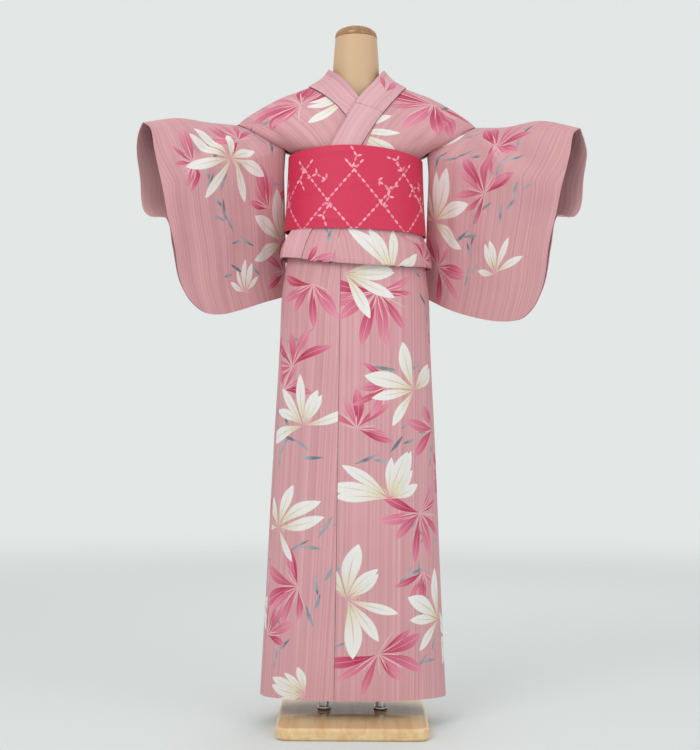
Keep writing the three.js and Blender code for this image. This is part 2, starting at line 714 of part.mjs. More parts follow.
// Closed body through oval sections, from the lowest row up.
function loft(rows, segments) {
  const positions = [];
  const index = [];
  for (const row of rows) {
    for (let k = 0; k < segments; k += 1) {
      const turn = k / segments * 2 * Math.PI;
      positions.push(row.halfWidth * Math.cos(turn), row.halfDepth * Math.sin(turn), row.z);
    }
  }
  const at = (row, k) => row * segments + k % segments;
  for (let row = 0; row < rows.length - 1; row += 1) {
    for (let k = 0; k < segments; k += 1) {
      index.push(at(row, k), at(row, k + 1), at(row + 1, k + 1));
      index.push(at(row, k), at(row + 1, k + 1), at(row + 1, k));
    }
  }
  const bottom = positions.length / 3;
  positions.push(0, 0, rows[0].z, 0, 0, rows[rows.length - 1].z);
  for (let k = 0; k < segments; k += 1) {
    index.push(bottom, at(0, k + 1), at(0, k));
    index.push(bottom + 1, at(rows.length - 1, k), at(rows.length - 1, k + 1));
  }
  const geometry = new THREE.BufferGeometry();
  geometry.setAttribute('position', new THREE.Float32BufferAttribute(positions, 3));
  geometry.setIndex(index);
  return geometry;
}

const rodRoute = [
  { reach: 92, y: 2, z: 1246 },
  { reach: 150, y: 1, z: 1246 },
  { reach: 196, y: -6, z: 1240 },
  { reach: 240, y: -30, z: 1232 },
  { reach: 300, y: -78, z: 1222 },
  { reach: 345, y: -121, z: 1212 },
  { reach: 378, y: -154, z: 1200 },
];

// A plain rod that carries a sleeve, as a round bar along the route.
function rod(side, radius) {
  const points = rodRoute.map((p) => new THREE.Vector3(side * p.reach, p.y, p.z));
  const path = new THREE.CatmullRomCurve3(points);
  const section = new THREE.Shape().absarc(0, 0, radius, 0, Math.PI * 2, false);
  return new THREE.ExtrudeGeometry(section, {
    steps: 16, curveSegments: 5, extrudePath: path, bevelEnabled: false,
  });
}

function toSolid(geometry) {
  const bare = geometry.clone();
  bare.deleteAttribute('normal');
  bare.deleteAttribute('uv');
  const merged = mergeVertices(bare, 1e-3);
  return new wasm.Manifold(new wasm.Mesh({
    numProp: 3,
    vertProperties: merged.attributes.position.array,
    triVerts: new Uint32Array(merged.index.array),
  }));
}

function fromSolid(solid) {
  const mesh = solid.getMesh();
  const geometry = new THREE.BufferGeometry();
  geometry.setAttribute('position', new THREE.BufferAttribute(mesh.vertProperties, 3));
  geometry.setIndex(new THREE.BufferAttribute(mesh.triVerts, 1));
  return geometry;
}

// The form has a socket for each rod.
function formPiece() {
  let body = toSolid(loft(formRows, 36));
  for (const side of [1, -1]) body = body.subtract(toSolid(rod(side, ROD_RADIUS + CLEAR)));
  return fromSolid(body);
}

function upright(profile, segments) {
  const points = profile.map(([radius, z]) => new THREE.Vector2(radius, z));
  return new THREE.LatheGeometry(points, segments).rotateX(Math.PI / 2);
}

function boardPiece() {
  const halfWidth = BOARD_WIDTH / 2 - BOARD_ROUND;
  const halfDepth = BOARD_DEPTH / 2 - BOARD_ROUND;
  const corner = BOARD_CORNER - BOARD_ROUND;
  const outline = new THREE.Shape();
  outline.absarc(halfWidth - corner, halfDepth - corner, corner, 0, Math.PI / 2);
  outline.absarc(corner - halfWidth, halfDepth - corner, corner, Math.PI / 2, Math.PI);
  outline.absarc(corner - halfWidth, corner - halfDepth, corner, Math.PI, Math.PI * 1.5);
  outline.absarc(halfWidth - corner, corner - halfDepth, corner, Math.PI * 1.5, Math.PI * 2);
  return new THREE.ExtrudeGeometry(outline, {
    depth: BOARD_THICK - 2 * BOARD_ROUND,
    bevelThickness: BOARD_ROUND,
    bevelSize: BOARD_ROUND,
    bevelSegments: 3,
    curveSegments: 5,
  }).translate(0, 0, BOARD_ROUND);
}

const postFoot = BOARD_THICK + CLEAR;
const postTop = FORM_BASE - CLEAR;
const capDome = [0, 15, 30, 45, 60, 75].map((turn) => [
  CAP_RADIUS * Math.cos(radians(turn)),
  CAP_BASE + 5 + (CAP_TOP - CAP_BASE - 5) * Math.sin(radians(turn)),
]);

// ---- build -----------------------------------------------------------------------------------------------

for (const piece of skirtPieces) addPiece(piece.name, skirtPiece(piece), cotton);
addPiece('left_body_shoulder', shoulderPiece(1), cotton);
addPiece('right_body_shoulder', shoulderPiece(-1), cotton);
addPiece('left_overlap_upper', overlapPiece(1), cotton);
addPiece('right_overlap_upper', overlapPiece(-1), cotton);
addPiece('over_collar', overCollar(), cottonCollar);
addPiece('left_collar_end', collarEnd(1), cottonCollar);
addPiece('right_collar_end', collarEnd(-1), cottonCollar);
addPiece('left_sleeve', sleevePiece(sleeves.left), cotton);
addPiece('right_sleeve', sleevePiece(sleeves.right), cotton);

addPiece('sash_band', sashBand(), sashCloth);
addPiece('sash_knot', knotPiece(), sashCloth);
addPiece('sash_bow_left', bowPiece(1), sashCloth);
addPiece('sash_bow_right', bowPiece(-1), sashCloth);

addPiece('stand_board', boardPiece(), boardWood);
for (const [word, side] of [['left', 1], ['right', -1]]) {
  const x = side * POST_SPACING / 2;
  const post = upright([
    [0, postFoot], [POST_RADIUS, postFoot], [POST_RADIUS, postTop], [0, postTop],
  ], 24).translate(x, 0, 0);
  const bore = POST_RADIUS + CLEAR;
  const ferrule = upright([
    [bore, postFoot], [FERRULE_RADIUS, postFoot], [FERRULE_RADIUS, postFoot + FERRULE_HEIGHT - 2],
    [FERRULE_RADIUS - 2, postFoot + FERRULE_HEIGHT], [bore, postFoot + FERRULE_HEIGHT],
    [bore, postFoot],
  ], 24).translate(x, 0, 0);
  addPiece(`stand_post_${word}`, post, chrome);
  addPiece(`stand_ferrule_${word}`, ferrule, chrome);
  addPiece(`sleeve_rod_${word}`, rod(side, ROD_RADIUS), chrome);
}
addPiece('dress_form', formPiece(), formSkin);
addPiece('neck_cap', upright([[0, CAP_BASE], [CAP_RADIUS, CAP_BASE], ...capDome, [0, CAP_TOP]], 32), wood);

export default robe;
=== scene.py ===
# %% [markdown]
# # A cotton yukata on a limbless dress form
#
# The robe is flat strips of cotton sewn edge to edge, wrapped left over right and held by a
# half-width sash. Each strip is modelled as one thin sheet on the form of its CAD solid. The flowers
# of the print are drawn in the strip's own flat coordinates, so they are cut off at the seams as on
# real cloth.
#
# Lengths in the tables are millimetres. Left and right are the wearer's, and the robe faces -Y.

import json
import math

import bpy
import numpy as np
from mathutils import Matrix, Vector
from mathutils.geometry import delaunay_2d_cdt

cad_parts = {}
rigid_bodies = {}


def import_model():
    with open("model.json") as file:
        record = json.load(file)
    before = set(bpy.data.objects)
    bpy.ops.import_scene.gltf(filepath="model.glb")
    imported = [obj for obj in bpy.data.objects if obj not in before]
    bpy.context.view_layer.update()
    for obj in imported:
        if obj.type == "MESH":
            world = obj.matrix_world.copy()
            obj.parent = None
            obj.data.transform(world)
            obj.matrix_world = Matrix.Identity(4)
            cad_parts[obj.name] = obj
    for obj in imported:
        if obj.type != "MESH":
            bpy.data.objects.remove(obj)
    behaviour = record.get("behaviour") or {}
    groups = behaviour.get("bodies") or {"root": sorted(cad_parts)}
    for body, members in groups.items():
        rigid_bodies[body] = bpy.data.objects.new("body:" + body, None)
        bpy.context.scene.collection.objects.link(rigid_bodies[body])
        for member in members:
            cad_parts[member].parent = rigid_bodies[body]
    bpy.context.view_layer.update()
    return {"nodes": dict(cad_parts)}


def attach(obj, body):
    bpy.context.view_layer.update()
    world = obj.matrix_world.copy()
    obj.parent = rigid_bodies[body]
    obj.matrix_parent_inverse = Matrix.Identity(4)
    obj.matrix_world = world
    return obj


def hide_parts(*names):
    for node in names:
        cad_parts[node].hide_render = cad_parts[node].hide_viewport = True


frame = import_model()
nodes = frame["nodes"]
MM = 0.001
print("CAD nodes:", len(nodes))

# %% [markdown]
# ## Colours and materials

# %% Colour and node helpers
def linear(hex_colour):
    """A linear RGBA colour from an sRGB hex one."""
    parts = [int(hex_colour[i:i + 2], 16) / 255 for i in (1, 3, 5)]
    return [c / 12.92 if c <= 0.04045 else ((c + 0.055) / 1.055) ** 2.4 for c in parts] + [1.0]


def add(tree, kind, inputs=None, stops=None, **settings):
    """Add a node. Settings are its own properties, and inputs maps a socket to a value or an output."""
    node = tree.nodes.new(kind)
    for key, value in settings.items():
        setattr(node, key, value)
    if stops:
        ramp = node.color_ramp.elements
        while len(ramp) < len(stops):
            ramp.new(0.5)
        for element, (place, colour) in zip(ramp, stops):
            element.position = place
            element.color = linear(colour) if isinstance(colour, str) else (colour,) * 3 + (1,)
    for key, value in (inputs or {}).items():
        socket = node.inputs[key]
        if isinstance(value, bpy.types.NodeSocket):
            tree.links.new(value, socket)
        else:
            socket.default_value = linear(value) if isinstance(value, str) else value
    return node


def new_material(name):
    """An empty node material, its tree and its shader."""
    material = bpy.data.materials.new(name)
    material.use_nodes = True
    tree = material.node_tree
    tree.nodes.clear()
    shader = add(tree, "ShaderNodeBsdfPrincipled")
    add(tree, "ShaderNodeOutputMaterial", {"Surface": shader.outputs[0]})
    return material, tree, shader


def times(tree, a, b):
    return add(tree, "ShaderNodeMath", {0: a, 1: b}, operation="MULTIPLY").outputs[0]


def ranged(tree, value, low, high, from_value, to_value):
    """A value taken from the range low..high to from_value..to_value."""
    inputs = {"Value": value, 1: low, 2: high, 3: from_value, 4: to_value}
    return add(tree, "ShaderNodeMapRange", inputs).outputs[0]


def blend(tree, share, first, second):
    """The first colour, with a share of the second one over it."""
    return add(tree, "ShaderNodeMix", {0: share, 6: first, 7: second}, data_type="RGBA").outputs[2]


def noise(tree, where, scale, detail, **inputs):
    settings = {"Vector": where, "Scale": scale, "Detail": detail, **inputs}
    return add(tree, "ShaderNodeTexNoise", settings).outputs[0]


def stretched(tree, where, scale):
    return add(tree, "ShaderNodeMapping", {"Vector": where, "Scale": scale}).outputs[0]


def ramp(tree, factor, *stops):
    return add(tree, "ShaderNodeValToRGB", {"Fac": factor}, stops=stops).outputs[0]


def motif_inputs(tree):
    """Along, across and tone of a corner's motif, and the kind of its face."""
    motif = add(tree, "ShaderNodeAttribute", attribute_name="motif").outputs["Vector"]
    kind = add(tree, "ShaderNodeAttribute", attribute_name="motif_kind").outputs["Fac"]
    return *add(tree, "ShaderNodeSeparateXYZ", {"Vector": motif}).outputs, kind


def relief(tree, shader, height, strength, distance):
    inputs = {"Height": height, "Strength": strength, "Distance": distance}
    tree.links.new(add(tree, "ShaderNodeBump", inputs).outputs[0], shader.inputs["Normal"])


print("helpers ready")

# %% [markdown]
# ## Cotton
#
# Uneven warp threads run along each strip. Over them the print has white and magenta flowers with
# slender grey leaves. `motif` gives each corner its place in a petal (along, across, tone) and
# `motif_kind` says which motif a face belongs to.

# %% The cotton, its reverse and the collar
LEAF, MAGENTA, WHITE, STAMEN = 1, 2, 3, 4


def white_petals(tree, along, vein, rim):
    colour = ramp(tree, along, (0.0, "#cfc59e"), (0.25, "#ddd6bf"), (0.5, "#e4e0d9"), (1.0, "#e7e4e1"))
    vein_share = times(tree, vein, ranged(tree, along, 0.45, 0.85, 0.75, 0.0))
    colour = blend(tree, vein_share, colour, "#bb9288")
    return blend(tree, times(tree, rim, 0.4), colour, "#c9aca2")


def magenta_petals(tree, along, tone, vein, rim):
    deep = ramp(tree, along, (0.0, "#ba4462"), (0.35, "#b63758"), (0.7, "#ca627d"), (1.0, "#d8899d"))
    soft = ramp(tree, along, (0.0, "#c85f78"), (0.5, "#d37a90"), (1.0, "#da97a6"))
    colour = blend(tree, times(tree, vein, 0.55), blend(tree, tone, deep, soft), "#e3b3b8")
    return blend(tree, times(tree, rim, 0.5), colour, "#e6b9bd")


def cotton(name, dark, light, print_share=1.0):
    material, tree, shader = new_material(name)
    cloth = add(tree, "ShaderNodeUVMap", uv_map="cloth").outputs[0]
    threads = noise(tree, stretched(tree, cloth, (190, 0.5, 1)), 1.0, 3.0, Roughness=0.6)
    slub = noise(tree, stretched(tree, cloth, (1900, 70, 1)), 1.0, 2.0)
    wide = noise(tree, cloth, 7.0, 2.0)

    along, across, tone, kind = motif_inputs(tree)
    middle = add(tree, "ShaderNodeMath", {0: across}, operation="ABSOLUTE").outputs[0]
    vein, rim = ranged(tree, middle, 0.03, 0.085, 1.0, 0.0), ranged(tree, middle, 0.88, 0.97, 0.0, 1.0)
    leaf_tones = ramp(tree, noise(tree, cloth, 30.0, 1.0), (0.36, "#6c7883"), (0.5, "#939aa2"),
                      (0.66, "#b5a8ae"))
    paints = {LEAF: blend(tree, rim, leaf_tones, "#b9a3a7"),
              MAGENTA: magenta_petals(tree, along, tone, vein, rim),
              WHITE: white_petals(tree, along, vein, rim), STAMEN: "#e2b7ba"}
    colour = ramp(tree, threads, (0.3, dark), (0.66, light))
    for number, paint in paints.items():
        here = add(tree, "ShaderNodeMath", {0: kind, 1: float(number), 2: 0.4},
                   operation="COMPARE").outputs[0]
        colour = blend(tree, times(tree, here, print_share), colour, paint)
    for shade in (ranged(tree, threads, 0.3, 0.7, 0.955, 1.02), ranged(tree, wide, 0.3, 0.7, 0.965, 1.03)):
        colour = add(tree, "ShaderNodeVectorMath", {0: colour, 1: shade}, operation="MULTIPLY").outputs[0]
    tree.links.new(colour, shader.inputs["Base Color"])

    height = add(tree, "ShaderNodeMath", {0: slub, 1: threads}, operation="ADD").outputs[0]
    relief(tree, shader, height, 0.35, 0.0004)
    for key, value in (("Roughness", 0.88), ("Specular IOR Level", 0.25), ("Sheen Weight", 0.05),
                       ("Sheen Roughness", 0.5)):
        shader.inputs[key].default_value = value
    return material


cotton_face = cotton("printed cotton", "#c69094", "#d6a4a8")
cotton_back = cotton("printed cotton reverse", "#cb9c9e", "#d9aeaf", 0.4)
cotton_collar = cotton("cotton collar", "#cd9aa1", "#dcafb4")
print("cotton ready")

# %% [markdown]
# ## Sash cloth, skin of the form, wood and chrome

# %% The other materials
def sash_material(name):
    material, tree, shader = new_material(name)
    cloth = add(tree, "ShaderNodeUVMap", uv_map="cloth").outputs[0]
    rib = noise(tree, stretched(tree, cloth, (120, 1500, 1)), 1.0, 2.0)
    _, _, tone, kind = motif_inputs(tree)
    ground = ramp(tree, rib, (0.3, "#c72248"), (0.7, "#d22a51"))
    figure = ramp(tree, tone, (0.0, "#c9647c"), (0.5, "#e08a9c"), (1.0, "#eda4b2"))
    here = add(tree, "ShaderNodeMath", {0: kind, 1: 0.5}, operation="GREATER_THAN").outputs[0]
    tree.links.new(blend(tree, here, ground, figure), shader.inputs["Base Color"])
    relief(tree, shader, rib, 0.3, 0.0003)
    shader.inputs["Roughness"].default_value = 0.6
    shader.inputs["Sheen Weight"].default_value = 0.05
    return material


def plain_material(name, colour, roughness, metallic=0.0, grain=None, coat=0.0):
    """A smooth finish. grain is (second colour, scale along X, Y and Z per metre)."""
    material, tree, shader = new_material(name)
    where = add(tree, "ShaderNodeTexCoord").outputs["Object"]
    if grain:
        second, scale = grain
        lines = noise(tree, stretched(tree, where, scale), 1.0, 5.0, Distortion=0.6)
        tree.links.new(ramp(tree, lines, (0.35, second), (0.62, colour)), shader.inputs["Base Color"])
    else:
        shader.inputs["Base Color"].default_value = linear(colour)
    rough = ranged(tree, noise(tree, where, 60.0, 3.0), 0.0, 1.0, roughness * 0.9, roughness * 1.1)
    tree.links.new(rough, shader.inputs["Roughness"])
    shader.inputs["Metallic"].default_value = metallic
    shader.inputs["Coat Weight"].default_value = coat
    return material


sash_cloth = sash_material("woven sash cloth")
form_skin = plain_material("form skin", "#cbaa86", 0.55, grain=("#c7a581", (3, 3, 3)))
board_wood = plain_material("pale birch", "#e4c696", 0.4, grain=("#d8b07c", (60, 3, 60)), coat=0.3)
cap_wood = plain_material("turned beech", "#a67a4c", 0.38, grain=("#956840", (90, 90, 14)), coat=0.4)
chrome = plain_material("chromed steel", "#d9dbde", 0.12, metallic=1.0)
print("materials:", len(bpy.data.materials))

# %% [markdown]
# ## The robe's surface
#
# Round the body every strip lies on one spiral: angle 0 is the wearer's left side, 90 the front, 180
# the right side and -90 the back. The outer overlap starts the spiral and the inner one ends it.

# %% Tables of the form
WRAP_START = 160
SKIRT_PITCH, UPPER_PITCH = 4.5, 6.8

SKIRT = {  # height, half width and half depth of the outer surface
    "z": (58, 290, 450, 620, 790, 900, 950, 995, 1045, 1110),
    "width": (201, 189.5, 182.5, 174.5, 165.5, 162, 156, 149, 136, 131),
    "depth": (121, 115, 112, 110, 108, 107, 103.5, 99.5, 91, 89),
}
WAIST = {  # level 1 is the top of the sash, 6 the fold of the tuck, and from there up inside it
    "level": (1, 2, 3, 4, 5, 6, 6.5, 7, 7.5, 8),
    "z": (1209, 1130, 1046, 1018, 986, 967, 963, 967, 986, 1018),
    "width": (140.5, 143, 148, 158, 167, 169, 169, 169, 167, 158),
    "depth": (103, 104, 105, 111, 116, 117, 117, 117, 116, 111),
    "inside": (0, 0, 0, 0, 0, 0, 2, 4, 4, 4),
}
SHOULDER = {"reach": (0, 58, 95, 125, 160, 207, 246, 264),
            "z": (1424, 1394, 1369, 1356, 1343, 1318, 1292, 1276)}
SHOULDER_REACH, SHOULDER_Y = 264, 8  # the armhole's distance from the middle, and how far back it lies
RIDGE_SHARE = 0.2                    # the shoulder line keeps this share of the wrap's inward step
ARMHOLE_SPREAD = 34                  # how far front and back part at the armhole
NECK_ROOM = 61                       # the collar passes in front of the neck at this radius
NECK_SEAM_REACH = 108
NAPE_LEVEL = 0.36                    # how far down the back the collar is sewn on
HEM, HEM_LIFT, HEM_FADE = 58, 6, 400
SKIRT_TOP = 1110
TUCK_FROM, TUCK_BLEND = 1046, 60     # below this height the tuck rises and tilts, over this much
TUCK_SIDE_RISE, TUCK_TILT = 12, 9.6
SASH_TILT, SASH_ARCH = 0.03, 12
TUCK_INSIDE = 8.0                    # level at which the cloth turned up inside the tuck ends
TUCK_FOLD = 6.0
COLLAR_SEAM = {"z": (1362, 1330, 1304, 1267, 1224, 1036, 967),
               "left": (108, 87, 68, 42, 16, -92, -117),
               "right": (-101, -64, -38, -10, 22, 100, 118)}
COLLAR_EDGE = {"z": (1394, 1358, 1322, 1285, 1222, 1036, 967),
               "left": (58, 33, 6, -14, -49, -136, -157),
               "right": (-57, -19, 7, 31, 73, 139, 156)}
OVERLAP_SEAM = {"z": (1267, 1224, 1041, 967), "left": (42, 24, -31, -47), "right": (-10, 10, 31, 47)}
OVERLAP_TOP = 1267

# %% Surfaces of the skirt, waist and bodice
def smooth(table, key, column, at):
    """Values of a column at a key, on a smooth curve through the table's rows."""
    keys, values = np.array(table[key], float), np.array(table[column], float)
    order = np.argsort(keys, kind="stable")
    keys, values = keys[order], values[order]
    slopes = np.empty_like(values)
    slopes[1:-1] = (values[2:] - values[:-2]) / (keys[2:] - keys[:-2])
    slopes[0] = (values[1] - values[0]) / (keys[1] - keys[0])
    slopes[-1] = (values[-1] - values[-2]) / (keys[-1] - keys[-2])
    at = np.clip(at, keys[0], keys[-1])
    i = np.clip(np.searchsorted(keys, at) - 1, 0, len(keys) - 2)
    span = keys[i + 1] - keys[i]
    u = (at - keys[i]) / span
    return ((2 * u ** 3 - 3 * u ** 2 + 1) * values[i] + (u ** 3 - 2 * u ** 2 + u) * span * slopes[i]
            + (3 * u ** 2 - 2 * u ** 3) * values[i + 1] + (u ** 3 - u ** 2) * span * slopes[i + 1])


def ring(width, depth, height, angle, within):
    turn = np.radians(angle)
    return np.stack([(width - within) * np.cos(turn), -(depth - within) * np.sin(turn),
                     height + 0 * turn], -1)


def skirt(angle, height):
    within = SKIRT_PITCH * (WRAP_START - angle) / 360
    points = ring(smooth(SKIRT, "z", "width", height), smooth(SKIRT, "z", "depth", height), height, angle,
                  within)
    near_hem = np.clip(1 - (height - HEM) / HEM_FADE, 0, 1)
    points[..., 2] += HEM_LIFT * near_hem * np.clip(np.sin(np.radians(angle)), 0, 1)
    return points


def waist(angle, level):
    within = UPPER_PITCH * (WRAP_START - angle) / 360 + smooth(WAIST, "level", "inside", level)
    height = smooth(WAIST, "level", "z", level)
    points = ring(smooth(WAIST, "level", "width", level), smooth(WAIST, "level", "depth", level), height,
                  angle, within)
    out = np.cos(np.radians(angle))
    shift = TUCK_SIDE_RISE * out ** 2 - TUCK_TILT * out
    points[..., 2] += np.clip((TUCK_FROM - height) / TUCK_BLEND, 0, 1) * shift
    points[..., 2] -= SASH_TILT * points[..., 0] * np.clip(2 - level, 0, 1)
    return points


def bodice(angle, level):
    turn = np.radians(angle)
    out, front = np.cos(turn), np.sin(turn) >= 0
    within = UPPER_PITCH * (WRAP_START - angle) / 360
    low = waist(angle, 1 + 0 * level)
    reach = out * (SHOULDER_REACH - within)
    ridge = smooth(SHOULDER, "reach", "z", np.abs(reach)) - RIDGE_SHARE * within
    rise = np.clip(np.sin(np.clip(level, 0, 1) * np.pi / 2), 0, 1)
    round_off = np.where(front, rise ** 0.62, rise ** 0.42)
    part = np.clip(np.sin(np.clip(level, 0, 1) * np.pi), 0, 1) ** 0.8 * np.abs(out) ** 3 * ARMHOLE_SPREAD
    x = reach + (low[..., 0] - reach) * level
    y = SHOULDER_Y + (low[..., 1] - SHOULDER_Y) * round_off + np.where(front, -part, part)
    z = ridge + (low[..., 2] - ridge) * level
    neck = -np.sqrt(np.clip(NECK_ROOM ** 2 - x ** 2, 0, None)) - within / 2
    y = np.where(front & (np.abs(x) < NECK_ROOM), np.minimum(y, neck), y)
    return np.stack([x, y, z], -1)


def upper(angle, level):
    """The upper robe: levels 0 to 1 are the bodice, and above 1 the waist and its tuck."""
    angle, level = np.broadcast_arrays(np.asarray(angle, float), np.asarray(level, float))
    above, below = bodice(angle, np.clip(level, 0, 1)), waist(angle, np.clip(level, 1, TUCK_INSIDE))
    return np.where((level < 1)[..., None], above, below)


def meet(table, side, level):
    """Angle at which each level of the upper robe meets a line seen from the front."""
    level = np.asarray(level, float)
    turns = 0 if side > 0 else -360
    low, high = np.zeros_like(level), np.full_like(level, 180.0)
    for _ in range(40):
        middle = (low + high) / 2
        point = upper(middle + turns, level)
        beyond = point[..., 0] > smooth(table, "z", "left" if side > 0 else "right", point[..., 2])
        low, high = np.where(beyond, middle, low), np.where(beyond, high, middle)
    return (low + high) / 2 + turns


def nape_angle(side, level):
    """Angle of the neck seam on the back, above NAPE_LEVEL, and of the centre back below it."""
    level = np.asarray(level, float)
    drop = np.arcsin(np.clip(level / NAPE_LEVEL, 0, 1))
    low, high = np.zeros_like(level), np.full_like(level, 90.0)
    for _ in range(40):
        middle = (low + high) / 2
        wide = np.abs(upper(-middle, level)[..., 0]) > NECK_SEAM_REACH * np.cos(drop)
        low, high = np.where(wide, middle, low), np.where(wide, high, middle)
    turn = np.where(level >= NAPE_LEVEL, 90, (low + high) / 2)
    return -turn if side > 0 else -180 + turn


print("top of the shoulders:", upper(0.0, 0.0).round(1))

# %% [markdown]
# ## Creases
#
# Every crease is one row: where it starts and ends seen from the front (or from behind), how wide it
# is and how far it stands out. Neighbouring strips share the tables, so their seams stay closed.

# %% Crease tables
# x and z of the start, x and z of the end, width, height (negative for a hollow)
BODY_FRONT = [
    (240, 1268, 150, 1188, 12, 8.5), (254, 1244, 166, 1162, 9, -9.0), (222, 1292, 138, 1234, 11, 6.0),
    (202, 1300, 122, 1212, 8, -6.0), (246, 1216, 172, 1146, 9, 7.5), (230, 1190, 166, 1140, 7, -5.0),
    (186, 1328, 110, 1262, 12, 3.6), (148, 1338, 96, 1252, 13, -2.6),
    (112, 1330, 70, 1226, 12, -2.4),
    (-234, 1270, -142, 1206, 12, 6.4), (-246, 1242, -152, 1180, 9, -7.0), (-204, 1300, -118, 1232, 11, 4.4),
    (-240, 1216, -166, 1154, 8, 6.0), (-218, 1286, -140, 1222, 7, -4.4),
    (-160, 1330, -84, 1240, 15, -2.6), (-126, 1340, -52, 1256, 14, 2.4), (-234, 1206, -160, 1158, 10, 3.6),
    (-76, 1034, -98, 976, 10, 1.8), (-40, 1036, -30, 982, 16, -1.4), (40, 1040, 66, 984, 17, 1.8),
    (86, 1040, 150, 1012, 9, -3.2), (104, 1018, 158, 990, 8, 2.8), (-146, 1034, -140, 990, 9, -1.6),
    (-66, 950, -80, 640, 20, 1.8), (20, 944, 46, 520, 26, -1.8), (96, 950, 122, 560, 22, 2.4),
    (-128, 930, -136, 420, 18, -2.0), (66, 700, 92, 150, 30, 2.0), (-36, 620, -30, 90, 28, -2.2),
    (-104, 560, -128, 70, 24, 2.4), (140, 620, 164, 80, 20, -2.6), (6, 420, 10, 60, 24, 1.6),
    (118, 300, 128, 60, 16, 2.2),
]
BODY_BACK = [
    (222, 1270, 130, 1196, 14, 4.4), (240, 1236, 150, 1168, 12, -4.6), (176, 1312, 88, 1240, 16, 2.6),
    (-226, 1266, -138, 1200, 13, 4.0), (-240, 1232, -160, 1172, 12, -4.4), (-170, 1310, -80, 1232, 17, 2.4),
    (110, 1036, 92, 978, 13, 3.0), (50, 1034, 44, 980, 15, -2.4), (-44, 1036, -62, 976, 14, 2.8),
    (-112, 1034, -104, 980, 12, -2.6), (8, 1030, 2, 984, 13, 2.0),
    (70, 950, 86, 480, 24, 2.0), (-60, 940, -76, 520, 26, -2.0), (118, 900, 136, 300, 20, -2.2),
    (-124, 880, -140, 260, 22, 2.4), (10, 700, 16, 90, 28, 1.8), (-30, 500, -44, 70, 24, -1.8),
    (88, 420, 100, 64, 20, 2.2), (-100, 360, -112, 64, 18, 2.0),
]


def crease(rows, x, z):
    """Height of a set of creases at x, z: each fans out and fades towards its lower end."""
    total = np.zeros(np.broadcast(x, z).shape)
    for x0, z0, x1, z1, width, height in rows:
        dx, dz = x1 - x0, z1 - z0
        length = math.hypot(dx, dz)
        along = ((x - x0) * dx + (z - z0) * dz) / length ** 2
        off = ((x - x0) * dz - (z - z0) * dx) / length
        spread = width * (0.75 + 0.6 * np.clip(along, 0, 1))
        ends = np.sin(np.pi * np.clip(along * 0.86 + 0.07, 0, 1)) * (along > -0.08) * (along < 1.08)
        total += height * np.clip(ends, 0, 1) * np.exp(-(off / spread) ** 2)
    return total


def body_crease(points):
    """Creases of the body, flattened where the sash presses on the cloth."""
    x, y, z = points[..., 0], points[..., 1], points[..., 2]
    facing = np.clip(-y / 60, -1, 1) * 0.5 + 0.5
    total = crease(BODY_FRONT, x, z) * facing + crease(BODY_BACK, x, z) * (1 - facing)
    pressed = np.clip((z - 1030) / 20, 0, 1) * np.clip((1232 - z) / 16, 0, 1)
    return total * (1 - pressed)


print("creases on the body:", len(BODY_FRONT) + len(BODY_BACK))

# %% [markdown]
# ## Drawing the print
#
# A petal or leaf is a pointed shape round a gently bent centre line. Its place in the cloth is given
# by its base, its direction, its length and its width.

# %% Petals, flowers and leaves
SIZES = (1.0, 0.74, 0.92, 1.12, 0.82, 1.05, 0.68, 0.96, 1.08)
WIDTHS = (0.26, 0.31, 0.23, 0.28, 0.21, 0.27, 0.33, 0.24, 0.22)
BENDS = (0.14, -0.08, 0.22, -0.17, 0.05, -0.24, 0.15)
WOBBLE = (0, 8, -7, 5, -10, 3, 11, -5, 7)


def shape(kind, u, v, turn, length, width, bend=0.0, tone=0.5):
    return {"kind": kind, "base": (u, v), "turn": turn, "length": length, "width": width, "bend": bend,
            "tone": tone}


def half_width(motif, along):
    peak = 1.0 if motif["kind"] in (LEAF, STAMEN) else 1.45
    bulge = np.clip(np.sin(np.pi * np.clip(along, 0, 1) ** peak), 0, 1) ** 0.85
    return motif["width"] / 2 * bulge


def outline_of(motif, count=12):
    along = np.linspace(0, 1, count)
    turn = math.radians(motif["turn"])
    points = []
    for side, steps in ((-1, along), (1, along[-2:0:-1])):
        for a in steps:
            across = motif["bend"] * a * a + side * float(half_width(motif, a))
            x, y = a * motif["length"], across
            points.append((motif["base"][0] + x * math.cos(turn) - y * math.sin(turn),
                           motif["base"][1] + x * math.sin(turn) + y * math.cos(turn)))
    return points


def place_in(motif, u, v):
    """Where points lie in a petal: how far along it, and how far across from -1 to 1."""
    turn = math.radians(motif["turn"])
    du, dv = u - motif["base"][0], v - motif["base"][1]
    along = (du * math.cos(turn) + dv * math.sin(turn)) / motif["length"]
    side = -du * math.sin(turn) + dv * math.cos(turn) - motif["bend"] * along ** 2
    return along, side / np.maximum(half_width(motif, along), 0.05)


def flower(kind, u, v, length, turn, count, fan):
    """Petals fanned about one direction, no two alike, with thin stamens over them."""
    step, turn = fan / max(count - 1, 1), turn - fan / 2
    petals = []
    for k in range(count):
        pick = (k * 4 + int(u) + int(v)) % 9
        way = turn + step * k + WOBBLE[pick]
        size = 1.14 * length * SIZES[pick]
        wide = size * WIDTHS[(pick + k) % 9] * (0.86 if kind == MAGENTA else 1.02)
        petals.append(shape(kind, u + 4 * math.cos(math.radians(way)), v + 4 * math.sin(math.radians(way)),
                            way, size, wide, size * BENDS[(pick + k) % 7], ((k * 5) % 7) / 6))
    thin = range(count) if kind == MAGENTA else range(0, count, 2)
    for k in thin:
        way = turn + step * (k + 0.45) + WOBBLE[(k + 3) % 9] * 0.6
        petals.append(shape(STAMEN, u, v, way,
                            length * (0.66 if kind == MAGENTA else 0.3) * SIZES[(k * 2) % 9], 2.2,
                            5.0 * (-1) ** k, 0.5))
    return petals


